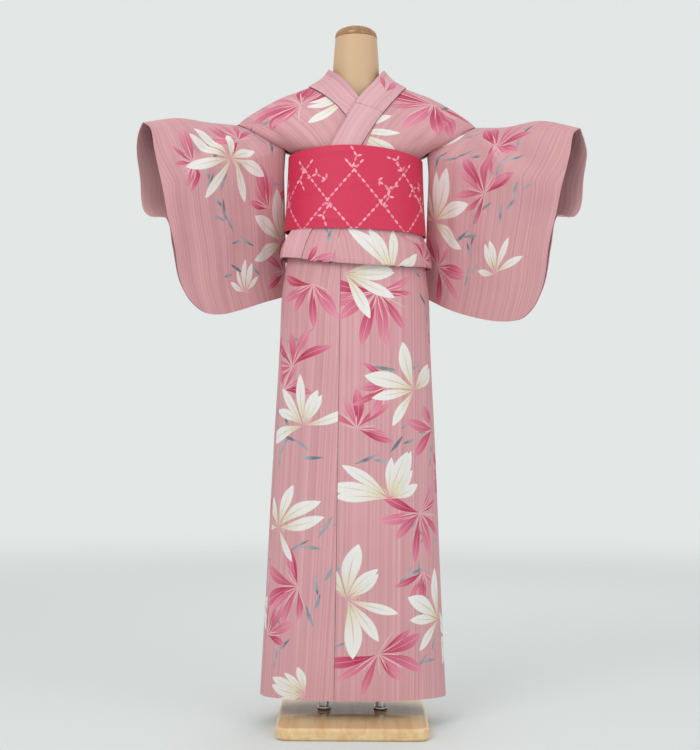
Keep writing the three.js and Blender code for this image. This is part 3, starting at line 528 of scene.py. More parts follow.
def leaf(u, v, turn, length, bend=8.0):
    """A loose spray of slender blades that follow one bent line."""
    blades = []
    for k, size in enumerate((0.95, 0.7, 0.85, 0.6)):
        way = math.radians(turn + 1.6 * bend * k)
        u, v = u + 0.62 * length * math.cos(way) * (k > 0), v + 0.62 * length * math.sin(way) * (k > 0)
        blades.append(shape(LEAF, u, v, math.degrees(way) + (16, -20, 24, -12)[k], length * size, 7.5,
                            0.6 * bend * (-1) ** k))
    return blades


# %% [markdown]
# ## Building a sheet of cloth
#
# `place(s, p)` gives points of a strip: s runs across it and p along it, both from 0 to 1. The strip
# is measured along that surface, its print is cut into triangles in the flat, and every corner is
# then put on the surface, so the print keeps its true size.

# %% Sheet builder
robe_pieces = {}


def normals_at(place, s, p):
    step_s, step_p = 2e-3, 1e-3
    across = place(np.clip(s + step_s, 0, 1), p) - place(np.clip(s - step_s, 0, 1), p)
    along = place(s, np.clip(p + step_p, 0, 1)) - place(s, np.clip(p - step_p, 0, 1))
    normal = np.cross(across, along)
    return normal / np.maximum(np.linalg.norm(normal, axis=-1, keepdims=True), 1e-9)


def measure(place):
    """Lengths along the middle of a strip and widths across it, at steps of p."""
    p = np.linspace(0, 1, 241)
    grid = place(np.linspace(0, 1, 33)[None, :], p[:, None])
    length = np.concatenate([[0], np.cumsum(np.linalg.norm(np.diff(grid[:, 16], axis=0), axis=-1))])
    width = np.linalg.norm(np.diff(grid, axis=1), axis=-1).sum(1)
    return p, length, width


def triangulate(place, motifs, cell, anchor, corner):
    """Triangles of a strip in the flat: corner places (u, v), corners of each face, and its top motif."""
    p, length, width = measure(place)
    total = length[-1]
    rows = max(2, round(total / cell))
    heights = np.linspace(0, total, rows + 1)
    if corner:
        bend = corner * (1 - np.cos(np.linspace(0, np.pi / 2, 9)))
        middle = heights[(heights > corner + 3) & (heights < total - corner - 3)]
        heights = np.concatenate([bend, middle, total - bend[::-1]])
    widths = np.interp(heights, length, width)
    left = anchor * (widths.max() - widths)
    from_end = np.clip(corner - np.minimum(heights, total - heights), 0, corner)
    widths = widths - (corner - np.sqrt(corner ** 2 - from_end ** 2))
    points = [(a, v) for a, v in zip(left, heights)]
    points += [(a + w, v) for a, w, v in zip(left[::-1], widths[::-1], heights[::-1])]
    count = max(3, round(float(widths.max()) / cell))
    fractions = np.linspace(0, 1, count + 1)[1:-1]
    for a, w, v in zip(left[1:-1], widths[1:-1], heights[1:-1]):
        points += [(a + 2.4, v), (a + w - 2.4, v)] + [(a + w * f,
                                                       v) for f in fractions if 4.5 < w * f < w - 4.5]
    border = list(range(2 * len(heights)))[::-1]
    for f in fractions:
        points += [(left[0] + widths[0] * f, heights[0]), (left[-1] + widths[-1] * f, heights[-1])]
    faces = [border]
    for motif in motifs:
        ring_points = outline_of(motif)
        faces.append(list(range(len(points), len(points) + len(ring_points))))
        points += ring_points
    inside_faces, tolerance = 1, 1e-6
    cut = delaunay_2d_cdt([Vector(q) * MM for q in points], [], faces, inside_faces, tolerance, True)
    corners, _, triangles, _, _, sources = cut
    corners = np.array([tuple(c) for c in corners]) / MM
    kept = [(t, max(o)) for t, o in zip(triangles, sources) if 0 in o]
    triangles = np.array([t for t, _ in kept])
    top = np.array([o - 1 for _, o in kept])
    used, triangles = np.unique(triangles, return_inverse=True)
    return corners[used], triangles.reshape(-1, 3), top, (p, length, width)


def sheet(name, place, motifs=(), materials=(cotton_face, cotton_back), flip=False, cell=7.5, thick=1.0,
          lift=None, seams=(True, True), anchor=0.0, corner=0.0):
    """One thin closed sheet of cloth with its print. It stands for the CAD node of its name.

    anchor says where across the strip its threads run straight, and corner rounds its far corners.
    """
    flat, triangles, top, (p_steps, lengths, widths) = triangulate(place, motifs, cell, anchor, corner)
    p = np.interp(flat[:, 1], lengths, p_steps)
    width = np.interp(flat[:, 1], lengths, widths)
    s = np.clip((flat[:, 0] - anchor * (widths.max() - width)) / width, 0, 1)
    way = -1 if flip else 1

    def lifted(s, p):
        points = place(s, p)
        height = lift(points) if lift else 0 * s
        room = np.interp(p, p_steps, widths)
        for wanted, edge in zip(seams, (s * room, (1 - s) * room)):
            if wanted:
                height = height - 0.5 * np.exp(-(edge / 2.6) ** 2)
        return points + way * height[..., None] * normals_at(place, s, p)

    outer = lifted(s, p)
    normal = way * normals_at(lifted, s, p)
    total = len(outer)
    if flip:
        triangles = triangles[:, ::-1]
    directed = np.concatenate([triangles[:, [0, 1]], triangles[:, [1, 2]], triangles[:, [2, 0]]])
    keys = np.sort(directed, axis=1)
    _, first, repeats = np.unique(keys, axis=0, return_index=True, return_counts=True)
    rim = directed[first[repeats == 1]]
    quads = np.stack([rim[:, 1], rim[:, 0], rim[:, 0] + total, rim[:, 1] + total], 1)

    mesh = bpy.data.meshes.new(name)
    inner = outer - normal * thick
    faces = triangles.tolist() + (triangles[:, ::-1] + total).tolist() + quads.tolist()
    mesh.from_pydata((np.concatenate([outer, inner]) * MM).tolist(), [], faces)
    for material in materials:
        mesh.materials.append(material)
    slots = np.repeat([0, 1, 0], [len(triangles), len(triangles), len(quads)]).astype(np.int32)
    mesh.polygons.foreach_set("material_index", slots % len(materials))
    mesh.polygons.foreach_set("use_smooth", np.ones(len(faces), bool))

    rim_way = np.cross(outer[rim[:, 1]] - outer[rim[:, 0]], normal[rim[:, 0]])
    rim_way /= np.maximum(np.linalg.norm(rim_way, axis=1, keepdims=True), 1e-9)
    corner_normals = np.concatenate([normal[triangles].reshape(-1, 3),
                                     -normal[triangles[:, ::-1]].reshape(-1, 3),
                                     np.repeat(rim_way, 4, axis=0)])
    mesh.normals_split_custom_set(corner_normals.tolist())

    corners = np.concatenate([triangles.ravel(), triangles[:, ::-1].ravel(), (quads % total).ravel()])
    shift = 0.37 * len(robe_pieces)
    uv = mesh.uv_layers.new(name="cloth")
    uv.data.foreach_set("uv", (flat[corners] * MM + [shift, 0.7 * shift]).ravel())
    motif_data = np.zeros((len(corners), 3))
    kinds = np.zeros(len(faces))
    for number, motif in enumerate(motifs):
        mine = np.nonzero(top == number)[0]
        for start, order in ((0, triangles), (len(triangles), triangles[:, ::-1])):
            rows = order[mine]
            along, across = place_in(motif, flat[rows, 0], flat[rows, 1])
            where = ((mine + start)[:, None] * 3 + np.arange(3)).ravel()
            motif_data[where] = np.stack([along, across, 0 * along + motif["tone"]], -1).reshape(-1, 3)
            kinds[mine + start] = motif["kind"]
    mesh.attributes.new("motif", "FLOAT_VECTOR", "CORNER").data.foreach_set("vector", motif_data.ravel())
    mesh.attributes.new("motif_kind", "FLOAT", "FACE").data.foreach_set("value", kinds)

    piece = bpy.data.objects.new(name + "_cloth", mesh)
    bpy.context.scene.collection.objects.link(piece)
    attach(piece, "root")
    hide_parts(name)
    robe_pieces[name] = piece
    size = (float(widths.max()) * MM, float(lengths[-1]) * MM)
    area = float(((widths[1:] + widths[:-1]) / 2 * np.diff(lengths)).sum()) * MM * MM
    print(f"{name}: {len(faces)} faces, {size[0]:.2f} by {size[1]:.2f} m on the body, {area:.3f} m2")
    return piece, size, area


print("sheet builder ready")

# %% [markdown]
# ## The skirt
#
# Six strips from the hem up under the waist tuck. Each row of the print is a flower's kind, its
# centre (across and along the strip), its petal length, the direction of its middle petal, how many
# petals it has and the angle over which they spread.

# %% Skirt print and strips
SKIRT_STRIPS = {  # from and to angles; the print is measured from the first
    "left_overlap_skirt": (160, 101), "left_front_skirt": (101, 14), "left_back_skirt": (14, -90),
    "right_back_skirt": (-90, -194), "right_front_skirt": (-194, -281), "right_overlap_skirt": (-281, -340),
}
SKIRT_FLOWERS = {
    "left_overlap_skirt": [
        (MAGENTA, 88, 862, 74, 250, 6, 150), (MAGENTA, 44, 690, 78, 130, 7, 190),
                           (WHITE, 84, 566, 88, 100, 7, 170),
        (MAGENTA, 20, 640, 60, 60, 5, 120), (WHITE, 30, 352, 84, 60, 6, 220),
                           (MAGENTA, 92, 232, 84, 190, 7, 170),
        (MAGENTA, 8, 128, 70, 40, 5, 120), (WHITE, 120, 12, 70, 150, 5, 120),
    ],
    "left_front_skirt": [
        (WHITE, 6, 884, 84, -20, 4, 90), (MAGENTA, 68, 846, 94, -90, 9, 190),
                         (MAGENTA, 34, 560, 62, 60, 6, 180),
        (MAGENTA, 92, 648, 62, 185, 5, 110), (WHITE, 152, 640, 82, 130, 6, 210),
                         (WHITE, 96, 414, 88, 90, 8, 170),
        (MAGENTA, 170, 384, 84, -80, 9, 230), (WHITE, 20, 208, 92, 20, 7, 200),
                         (MAGENTA, 78, 96, 84, -60, 8, 210),
        (MAGENTA, 226, 560, 80, 110, 7, 200), (WHITE, 236, 160, 84, 120, 6, 200),
                         (MAGENTA, 178, 262, 60, -100, 5, 120),
    ],
    "left_back_skirt": [
        (MAGENTA, 80, 760, 88, 140, 8, 200), (WHITE, 190, 620, 96, -50, 7, 185),
                        (MAGENTA, 60, 470, 84, -120, 8, 190),
        (WHITE, 150, 330, 94, 140, 7, 190), (MAGENTA, 250, 200, 88, -70, 8, 200),
                        (WHITE, 60, 120, 90, 165, 6, 175),
        (WHITE, 270, 860, 84, -35, 6, 175),
    ],
    "right_back_skirt": [
        (WHITE, 70, 800, 92, -105, 7, 185), (MAGENTA, 210, 700, 90, 160, 8, 200),
                         (WHITE, 120, 520, 96, 10, 7, 185),
        (MAGENTA, 260, 430, 80, -40, 8, 190), (MAGENTA, 60, 330, 84, -180, 7, 190),
                         (WHITE, 210, 210, 98, -120, 7, 190),
        (MAGENTA, 100, 70, 86, 105, 8, 175),
    ],
    "right_front_skirt": [
        (MAGENTA, 60, 700, 88, 160, 8, 190), (WHITE, 190, 560, 92, -70, 7, 185),
                          (WHITE, 70, 300, 90, -170, 7, 190),
        (MAGENTA, 200, 150, 86, -90, 8, 190),
    ],
    "right_overlap_skirt": [
        (WHITE, 60, 640, 90, -150, 6, 185), (MAGENTA, 90, 320, 84, -40, 8, 190),
                            (WHITE, 60, 90, 88, 145, 6, 175),
    ],
}
SKIRT_LEAVES = {  # across, along, direction, length and bend
    "left_overlap_skirt": [(96, 770, 200, 62, 8), (130, 500, 170, 56, -8), (20, 470, 70, 60, 9),
                           (60, 300, 10, 60, 7),
                           (40, 60, 60, 58, 7), (128, 150, 100, 52, -6)],
    "left_front_skirt": [(106, 902, -12, 58, 6), (170, 850, -60, 62, 8), (60, 690, -30, 56, 8),
                         (118, 560, 10, 56, -6),
                         (30, 486, 5, 56, 6), (118, 340, 20, 56, -8), (40, 300, 200, 60, 8),
                         (110, 230, 30, 60, 8),
                         (170, 150, 70, 56, 7), (20, 120, 190, 54, -7), (206, 480, 60, 58, 6),
                         (150, 60, 20, 54, 6)],
    "left_back_skirt": [(140, 820, 60, 64, 8), (110, 560, -70, 66, -8), (230, 420, 80, 64, 8),
                        (130, 180, 50, 60, 7)],
    "right_back_skirt": [(150, 880, 110, 60, 8), (60, 620, 70, 66, -8), (190, 340, -60, 66, 8),
                         (160, 130, 100, 58, 7)],
    "right_front_skirt": [(120, 420, 70, 66, 8), (60, 120, 60, 60, -8)],
    "right_overlap_skirt": [(40, 460, 80, 62, 8)],
}


def print_of(flowers, leaves):
    """Leaves lie under the flowers, and the white flowers on top."""
    rows = [blade for row in leaves for blade in leaf(*row)]
    for kind in (MAGENTA, WHITE):
        for row in flowers:
            if row[0] == kind:
                rows += flower(*row)
    return rows


cloth_sizes = {}
SKIRT_GAP, UPPER_GAP = 0.17, 0.14  # half a seam's gap, in degrees round the body
WRAP_END = -340
for name, (start, end) in SKIRT_STRIPS.items():

    def place(s, p, start=start - SKIRT_GAP, end=end + SKIRT_GAP):
        return skirt(start + (end - start) * s, HEM + (SKIRT_TOP - HEM) * p)

    motifs = print_of(SKIRT_FLOWERS[name], SKIRT_LEAVES[name])
    cloth_sizes[name] = sheet(name, place, motifs, lift=body_crease,
                              seams=(start != WRAP_START, end != WRAP_END))[1:]

# %% [markdown]
# ## The upper robe
#
# The body strips run from the front tuck over the shoulder to the tuck behind. Below the collar the
# overlap strips fill in the front.

# %% Body strips and overlap strips
LEVELS = np.concatenate([np.linspace(0, 1, 81), np.linspace(1, TUCK_INSIDE, 141)[1:]])
SIDE_FORWARD = 12  # degrees by which the side seam runs forward towards the tuck


def body_strip(side):
    front_end = TUCK_INSIDE if side > 0 else TUCK_FOLD
    collar, overlap = meet(COLLAR_SEAM, side, LEVELS), meet(OVERLAP_SEAM, side, LEVELS)
    at_collar = upper(collar, LEVELS)[..., 2] > OVERLAP_TOP
    front_seam = np.where(at_collar, collar, overlap) - side * UPPER_GAP
    back_seam = nape_angle(side, LEVELS) + side * UPPER_GAP

    def place(s, p):
        s, p = np.broadcast_arrays(np.asarray(s, float), np.asarray(p, float))
        front = p < 0.5
        way, end = np.abs(1 - 2 * p), np.where(front, front_end, TUCK_INSIDE)
        # Half of each way is bodice, so that the shoulder gets its share of the steps.
        level = np.where(way < 0.5, 2 * way, 1 + (2 * way - 1) * (end - 1))
        forward = np.clip((level - 1) / 4, 0, 1) * SIDE_FORWARD
        edge = forward if side > 0 else -180 - forward
        edge = edge + np.where(front, UPPER_GAP, -UPPER_GAP) * side
        seam = np.where(front, np.interp(level, LEVELS, front_seam), np.interp(level, LEVELS, back_seam))
        return upper(edge + (seam - edge) * s, level)

    return place


def overlap_strip(side):
    collar, overlap = meet(COLLAR_SEAM, side, LEVELS), meet(OVERLAP_SEAM, side, LEVELS)
    start = float(np.interp(-1250, -upper(collar, LEVELS)[..., 2], LEVELS))
    end = TUCK_INSIDE if side > 0 else TUCK_FOLD

    def place(s, p):
        level = end + (start - end) * p
        from_angle = np.interp(level, LEVELS, overlap) + side * UPPER_GAP
        to_angle = np.interp(level, LEVELS, collar) - side * UPPER_GAP
        return upper(from_angle + (to_angle - from_angle) * s, level + 0 * s)

    return place


UPPER_FLOWERS = {
    "left_body_shoulder": [
        (WHITE, 134, 40, 92, 105, 5, 90), (MAGENTA, 44, 74, 62, 140, 5, 155),
                           (MAGENTA, 122, 458, 92, -90, 9, 200),
        (WHITE, 190, 330, 80, 135, 6, 175), (WHITE, 120, 640, 90, 160, 7, 190),
                           (MAGENTA, 210, 730, 84, -120, 8, 190),
        (MAGENTA, 110, 980, 80, 170, 7, 185),
    ],
    "right_body_shoulder": [
        (MAGENTA, 146, 366, 90, 110, 9, 230), (WHITE, 206, 336, 66, 150, 4, 100),
                            (WHITE, 150, 20, 84, 90, 5, 95),
        (WHITE, 110, 590, 90, -120, 7, 190), (MAGENTA, 200, 660, 84, 140, 8, 190),
                            (WHITE, 150, 930, 82, 165, 6, 175),
    ],
    "left_overlap_upper": [(MAGENTA, 60, 40, 60, -170, 6, 160)],
    "right_overlap_upper": [(WHITE, 40, 150, 60, -170, 6, 160)],
}
UPPER_LEAVES = {
    "left_body_shoulder": [(70, 400, 40, 52, 7), (60, 560, 80, 56, 7), (190, 560, 60, 58, -7)],
    "right_body_shoulder": [(96, 342, 140, 54, 7), (60, 470, 60, 52, -7), (70, 700, 80, 58, 7)],
    "left_overlap_upper": [(18, 90, 70, 46, 6)],
    "right_overlap_upper": [],
}
for side, word in ((1, "left"), (-1, "right")):
    for part, strip in (("body_shoulder", body_strip), ("overlap_upper", overlap_strip)):
        name = f"{word}_{part}"
        motifs = print_of(UPPER_FLOWERS[name], UPPER_LEAVES[name])
        cloth_sizes[name] = sheet(name, strip(side), motifs, lift=body_crease, flip=side > 0,
                                  seams=(True, part == "body_shoulder"))[1:]

# %% [markdown]
# ## The collar
#
# A doubled band sewn on along the neck edge. It crosses below the throat, stands a little away from
# the nape, and shows again under the sash at the tuck.

# %% Surface through a grid of points, and the collar
def hermite(keys, values, at):
    slopes = np.gradient(values, keys, axis=0)
    at = np.clip(at, keys[0], keys[-1])
    i = np.clip(np.searchsorted(keys, at) - 1, 0, len(keys) - 2)
    span = (keys[i + 1] - keys[i])[:, None, None]
    u = (at - keys[i])[:, None, None] / span
    return ((2 * u ** 3 - 3 * u ** 2 + 1) * values[i] + (u ** 3 - 2 * u ** 2 + u) * span * slopes[i]
            + (3 * u ** 2 - 2 * u ** 3) * values[i + 1] + (u ** 3 - u ** 2) * span * slopes[i + 1])


def through(rows):
    """place(s, p) on a smooth surface through rows of points: s crosses a row and p follows the rows."""
    rows = np.array(rows, float)
    steps = np.linalg.norm(np.diff(rows, axis=0), axis=-1).mean(1)
    keys = np.concatenate([[0], np.cumsum(steps)]) / steps.sum()

    def place(s, p):
        s, p = np.broadcast_arrays(np.asarray(s, float), np.asarray(p, float))
        lines = hermite(keys, rows, p.ravel())
        slopes = np.gradient(lines, axis=1)
        at = np.clip(s.ravel(), 0, 1) * (rows.shape[1] - 1)
        i = np.clip(at.astype(int), 0, rows.shape[1] - 2)
        u, k = (at - i)[:, None], np.arange(len(at))
        points = ((2 * u ** 3 - 3 * u ** 2 + 1) * lines[k, i] + (u ** 3 - 2 * u ** 2 + u) * slopes[k, i]
                  + (3 * u ** 2 - 2 * u ** 3) * lines[k, i + 1] + (u ** 3 - u ** 2) * slopes[k, i + 1])
        return points.reshape(s.shape + (3,))

    return place


def collar_row(level, side):
    level = np.float64(level)
    seam = float(meet(COLLAR_SEAM, side, level)) + side * UPPER_GAP
    edge = float(meet(COLLAR_EDGE, side, level))
    row = upper(np.linspace(edge, seam, 4), level)
    out = np.stack([row[:, 0] * 0.25, row[:, 1], 12 + 0 * row[:, 1]], -1)
    proud = 1 - 0.6 * min(max(float(level) - 1, 0), 1)
    return row + proud * out / np.linalg.norm(out, axis=1, keepdims=True)


NAPE_EDGE_Y, NAPE_EDGE_Z = 101, 1391  # the collar's free edge behind the neck


def nape_row(turn, side):
    drop = math.radians(turn)
    lean = math.sin(drop)
    start = collar_row(0, side)[0]
    seam = upper(nape_angle(side, np.float64(NAPE_LEVEL * lean * 0.9999)), NAPE_LEVEL * lean) + [0, 0, 2.3]
    edge = np.array([start[0] * math.cos(drop), start[1] + (NAPE_EDGE_Y - start[1]) * lean,
                     start[2] + (NAPE_EDGE_Z - start[2]) * lean])
    return edge + (seam - edge) * np.linspace(0, 1, 4)[:, None]


over_levels = (0.46, 0.4, 0.34, 0.27, 0.2, 0.15, 0.1, 0.06, 0.03, 0)
OVER_END = {1: 0.53, -1: 0.62}
rows = [collar_row(level, 1) for level in (OVER_END[1], *over_levels)]
rows += [nape_row(turn, 1) for turn in (23, 45, 67, 90)] + [nape_row(turn, -1) for turn in (67, 45, 23)]
rows += [collar_row(level, -1) for level in (*over_levels[::-1], 0.54, OVER_END[-1])]
collar_print = [shape(MAGENTA, 34, 60, 80, 58, 15, 5, 0.8), shape(MAGENTA, 30, 66, 130, 46, 13, -4, 0.6),
                shape(WHITE, 20, 330, 70, 60, 15, 5), shape(MAGENTA, 26, 700, 60, 52, 14, 4, 0.7)]
cloth_sizes["over_collar"] = sheet(
    "over_collar", through(rows), collar_print, (cotton_collar,), flip=True, thick=2.6, lift=body_crease,
    seams=(False, False))[1:]

def edge_down(points):
    """The outer free edge sinks on to the layer under it at the tuck."""
    edge = np.interp(points[..., 2], (967, 1036), (-157, -136))
    below_sash = np.clip((1045 - points[..., 2]) / 20, 0, 1)
    return body_crease(points) - 3.4 * below_sash * np.exp(-((points[..., 0] - edge) / 9) ** 2)


end_levels = (0.7, 0.8, 0.92, 1, 1.5, 2, 2.5, 3, 3.5, 4, 4.5, 5, 5.5, 6)
for side, word in ((1, "left"), (-1, "right")):
    name = f"{word}_collar_end"
    cloth_sizes[name] = sheet(
        name, through([collar_row(level, side) for level in (OVER_END[side] + 0.002, *end_levels)]), (),
                              (cotton_collar,),
        flip=side < 0, thick=2.6, lift=edge_down if side > 0 else body_crease, seams=(False, False))[1:]

# %% [markdown]
# ## The sleeves
#
# Each sleeve is one strip folded along the arm, so it has a front and a back layer. They are sewn to
# the body only at the top, and the cuff is open above a sewn corner. Level 0 is the fold along the
# arm and 1 the lower seam.

# %% Sleeve tables
SLEEVE_SEWN, BODY_SEWN = 0.36, 0.86
HANGING = {"level": (0.42, 0.56, 0.72, 0.86), "proud": (2, 1, 0, 0), "front": (-8, 22, 48, 56),
           "back": (18, 42, 62, 64), "z": (1174, 1104, 1030, 970)}
SLEEVES = {
    "right": {
        "side": -1, "inner": 153,
        "fold": ((314, -55, 1272), (373, -132, 1264), (430, -215, 1237)),
        "bottom": ((153, 57, 912), (197, -2, 893), (241, -66, 871), (282, -124, 856), (323, -180, 859)),
        "front": {"level": (0, 0.04, 0.16, 0.36, 0.53, 0.7, 0.86, 1),
                  "x": (430, 412, 402, 386, 377, 364, 351, 322),
                  "y": (-215, -230, -240, -238, -224, -214, -206, -182),
                  "z": (1237, 1222, 1176, 1102, 1044, 985, 915, 859)},
        "back": {"level": (0, 0.04, 0.16, 0.3, 0.44, 0.5, 0.54, 0.7, 0.86, 1),
                 "x": (430, 440, 444, 437, 431, 413, 379, 366, 353, 324),
                 "y": (-215, -206, -199, -194, -193, -202, -219, -210, -202, -178),
                 "z": (1237, 1216, 1180, 1125, 1066, 1046, 1042, 985, 915, 859)},
    },
    "left": {
        "side": 1, "inner": 157,
        "fold": ((321, -55, 1266), (387, -135, 1262), (452, -215, 1230)),
        "bottom": ((157, 57, 910), (205, 0, 880), (256, -62, 858), (306, -124, 845), (353, -182, 847)),
        "front": {"level": (0, 0.04, 0.16, 0.36, 0.53, 0.7, 0.86, 1),
                  "x": (452, 436, 427, 411, 403, 390, 379, 352),
                  "y": (-215, -230, -240, -238, -224, -214, -206, -184),
                  "z": (1230, 1216, 1172, 1106, 1054, 990, 915, 847)},
        "back": {"level": (0, 0.04, 0.16, 0.3, 0.44, 0.5, 0.54, 0.7, 0.86, 1),
                 "x": (452, 462, 468, 462, 456, 438, 405, 392, 381, 354),
                 "y": (-215, -206, -199, -194, -193, -202, -219, -210, -202, -180),
                 "z": (1230, 1206, 1178, 1132, 1072, 1050, 1052, 990, 915, 847)},
    },
}
# x and z of the start and end, width and height, for the front layer and the back layer
SLEEVE_CREASES = {
    "left": {"front": [(246, 1262, 330, 1120, 15, 6.5), (262, 1248, 372, 1150, 13, -6),
                       (290, 1258, 400, 1196, 15, 5),
                       (226, 1226, 262, 1040, 13, -4), (240, 1180, 292, 930, 18, 4.6),
                       (214, 1150, 226, 920, 12, 4),
                       (330, 1210, 352, 900, 20, -3), (392, 1200, 388, 900, 16, 3),
                       (196, 1100, 196, 920, 9, -4)],
             "back": [(250, 1250, 330, 1100, 16, 5), (230, 1200, 262, 960, 16, -5),
                      (300, 1240, 380, 1120, 16, -5),
                      (290, 1150, 310, 900, 20, 4), (350, 1160, 362, 900, 20, -3),
                      (200, 1110, 206, 930, 11, 3)]},
    "right": {"front": [(-244, 1262, -320, 1130, 15, 5.5), (-262, 1246, -352, 1140, 13, -5),
                        (-292, 1256, -384, 1190, 15, 4.4),
                        (-222, 1224, -252, 1030, 13, -4), (-236, 1170, -282, 930, 18, 4),
                        (-208, 1140, -216, 930, 12, 3.6),
                        (-316, 1210, -330, 900, 20, -3), (-372, 1190, -362, 900, 16, 2.8),
                        (-190, 1090, -188, 930, 9, -3.6)],
              "back": [(-250, 1250, -330, 1100, 16, 5), (-228, 1200, -258, 960, 16, -5),
                       (-300, 1240, -372, 1120, 16, -4.6),
                       (-286, 1150, -300, 900, 20, 4), (-338, 1160, -350, 900, 20, -3),
                       (-198, 1110, -202, 930, 11, 3)]},
}
SLEEVE_FLOWERS = {
    "left": [(MAGENTA, 170, 372, 72, 40, 8, 210), (MAGENTA, 188, 262, 76, 140, 8, 220),
             (WHITE, 44, 190, 86, 60, 7, 190),
             (MAGENTA, 60, 92, 78, 20, 7, 200), (WHITE, 30, 330, 60, 130, 5, 140),
             (WHITE, 236, 96, 60, 100, 5, 150),
             (WHITE, 60, 560, 90, 60, 7, 200), (MAGENTA, 200, 600, 84, 100, 8, 220),
             (WHITE, 150, 760, 86, 250, 7, 200)],
    "right": [(WHITE, 176, 318, 84, 100, 8, 290), (MAGENTA, 122, 356, 66, 60, 7, 190),
              (MAGENTA, 74, 202, 78, 100, 8, 200),
              (WHITE, 34, 128, 84, 70, 7, 190), (MAGENTA, 262, 330, 60, 20, 6, 180),
              (WHITE, 170, 34, 56, 90, 5, 150),
              (MAGENTA, 30, 60, 60, 40, 5, 150), (MAGENTA, 70, 560, 84, 60, 8, 220),
              (WHITE, 190, 620, 88, 100, 7, 200),
              (MAGENTA, 120, 760, 80, 250, 8, 220)],
}
SLEEVE_LEAVES = {
    "left": [(66, 350, 60, 54, 8), (40, 290, 50, 54, -7), (110, 150, 20, 56, 8), (216, 300, 60, 54, 7),
             (150, 60, 60, 50, 7),
             (236, 200, 80, 50, -6), (130, 660, 60, 60, 7)],
    "right": [(104, 270, 200, 54, 8), (60, 300, 110, 54, -7), (130, 130, 10, 56, 8), (250, 250, 90, 54, 7),
              (110, 60, 30, 50, -6),
              (210, 190, 70, 50, 6), (130, 680, 60, 60, 7)],
}


# %% Sleeve surface and strips
def curve(points, fraction):
    """Points on a smooth curve through a few points, by its fraction of the way."""
    points = np.array(points, float)
    steps = np.linalg.norm(np.diff(points, axis=0), axis=1)
    table = {"way": np.concatenate([[0], np.cumsum(steps)]) / steps.sum()}
    columns = []
    for k in range(3):
        table["value"] = points[:, k]
        columns.append(smooth(table, "way", "value", fraction))
    return np.stack(columns, -1)


def sleeve_strip(sleeve):
    side = sleeve["side"]

    def inner(level, layer):
        sewn = np.clip(level / SLEEVE_SEWN, 0, 1) * BODY_SEWN
        angle = layer * -0.01 if side > 0 else -180 + layer * 0.01
        top = upper(angle, sewn)
        top = np.stack([np.abs(top[..., 0]) + 1.2, top[..., 1], top[..., 2]], -1)
        start = inner_start[layer]
        column = "front" if layer < 0 else "back"
        end = sleeve["bottom"][0]
        table = {"level": (SLEEVE_SEWN, *HANGING["level"], 1),
                 "x": (start[0], *(sleeve["inner"] + p for p in HANGING["proud"]), end[0]),
                 "y": (start[1], *HANGING[column], HANGING[column][-1] * 0.2 + end[1] * 0.8),
                 "z": (start[2], *HANGING["z"], end[2])}
        low = np.stack([smooth(table, "level", key, level) for key in "xyz"], -1)
        return np.where((level <= SLEEVE_SEWN)[..., None], top, low)

    inner_start = {}
    for layer in (-1, 1):
        point = upper(layer * -0.01 if side > 0 else -180 + layer * 0.01, BODY_SEWN)
        inner_start[layer] = (abs(point[0]) + 1.2, point[1], point[2])
    arm_top = inner(np.array(0.0), -1)
    fold = np.vstack([arm_top, np.array(sleeve["fold"], float)])

    def layer_points(across, level, layer):
        outer_table = sleeve["front" if layer < 0 else "back"]

        def outer(level):
            return np.stack([smooth(outer_table, "level", key, level) for key in "xyz"], -1)

        a, b = across[..., None], level[..., None]
        zero, one = np.zeros_like(level), np.ones_like(level)
        low = curve(sleeve["bottom"], across) + np.array([1.44, 1.08, 0]) * layer
        points = inner(level, layer) * (1 - a) + outer(level) * a + curve(fold, across) * (1 - b) + low * b
        points = points - inner(zero, layer) * (1 - a) * (1 - b) - inner(one, layer) * (1 - a) * b
        points = points - outer(zero) * a * (1 - b) - outer(one) * a * b
        room = 14 * np.sin(across * np.pi) * np.sin(np.sqrt(np.clip(level, 0, 1)) * np.pi) * layer
        points[..., 0] += 0.8 * room
        points[..., 1] += 0.6 * room
        return points * [side, 1, 1]

    def place(s, p):
        s, p = np.broadcast_arrays(np.asarray(s, float), np.asarray(p, float))
        level = np.abs(1 - 2 * p)
        return np.where((p < 0.5)[..., None], layer_points(s, level, -1), layer_points(s, level, 1))

    return place


for word, sleeve in SLEEVES.items():
    place = sleeve_strip(sleeve)
    creases = SLEEVE_CREASES[word]

    def sleeve_lift(points, sleeve=sleeve, creases=creases, place=place):
        x, y, z = points[..., 0], points[..., 1], points[..., 2]
        # A point belongs to the back layer where it lies behind the middle of the sleeve.
        reach = np.abs(x)
        ends = np.clip((reach - 166) / 30, 0, 1) * np.clip((z - 866) / 40, 0, 1)
        middle = np.interp(reach, (153, 240, 330, 460), (40, -32, -150, -205))
        behind = np.clip((y - middle) / 16, -1, 1) * 0.5 + 0.5
        return ends * (crease(creases["front"], x, z) * (1 - behind) + crease(creases["back"], x, z) * behind)

    name = f"{word}_sleeve"
    motifs = print_of(SLEEVE_FLOWERS[word], SLEEVE_LEAVES[word])
    cloth_sizes[name] = sheet(name, place, motifs, flip=sleeve["side"] < 0, lift=sleeve_lift,
                              seams=(True, False), anchor=0.55, corner=34)[1:]

# %% [markdown]
# ## The sash
#
# A crimson half-width sash. Its figure is a lattice of small woven lozenges, with a sprig inside the
# diamonds. Behind, it is tied in a small bow.

# %% Sash band, knot and bow
SASH_TABLE = {"z": (1040, 1110, 1203), "width": (153.5, 148.8, 145.2), "depth": (110.5, 109.3, 108.5)}


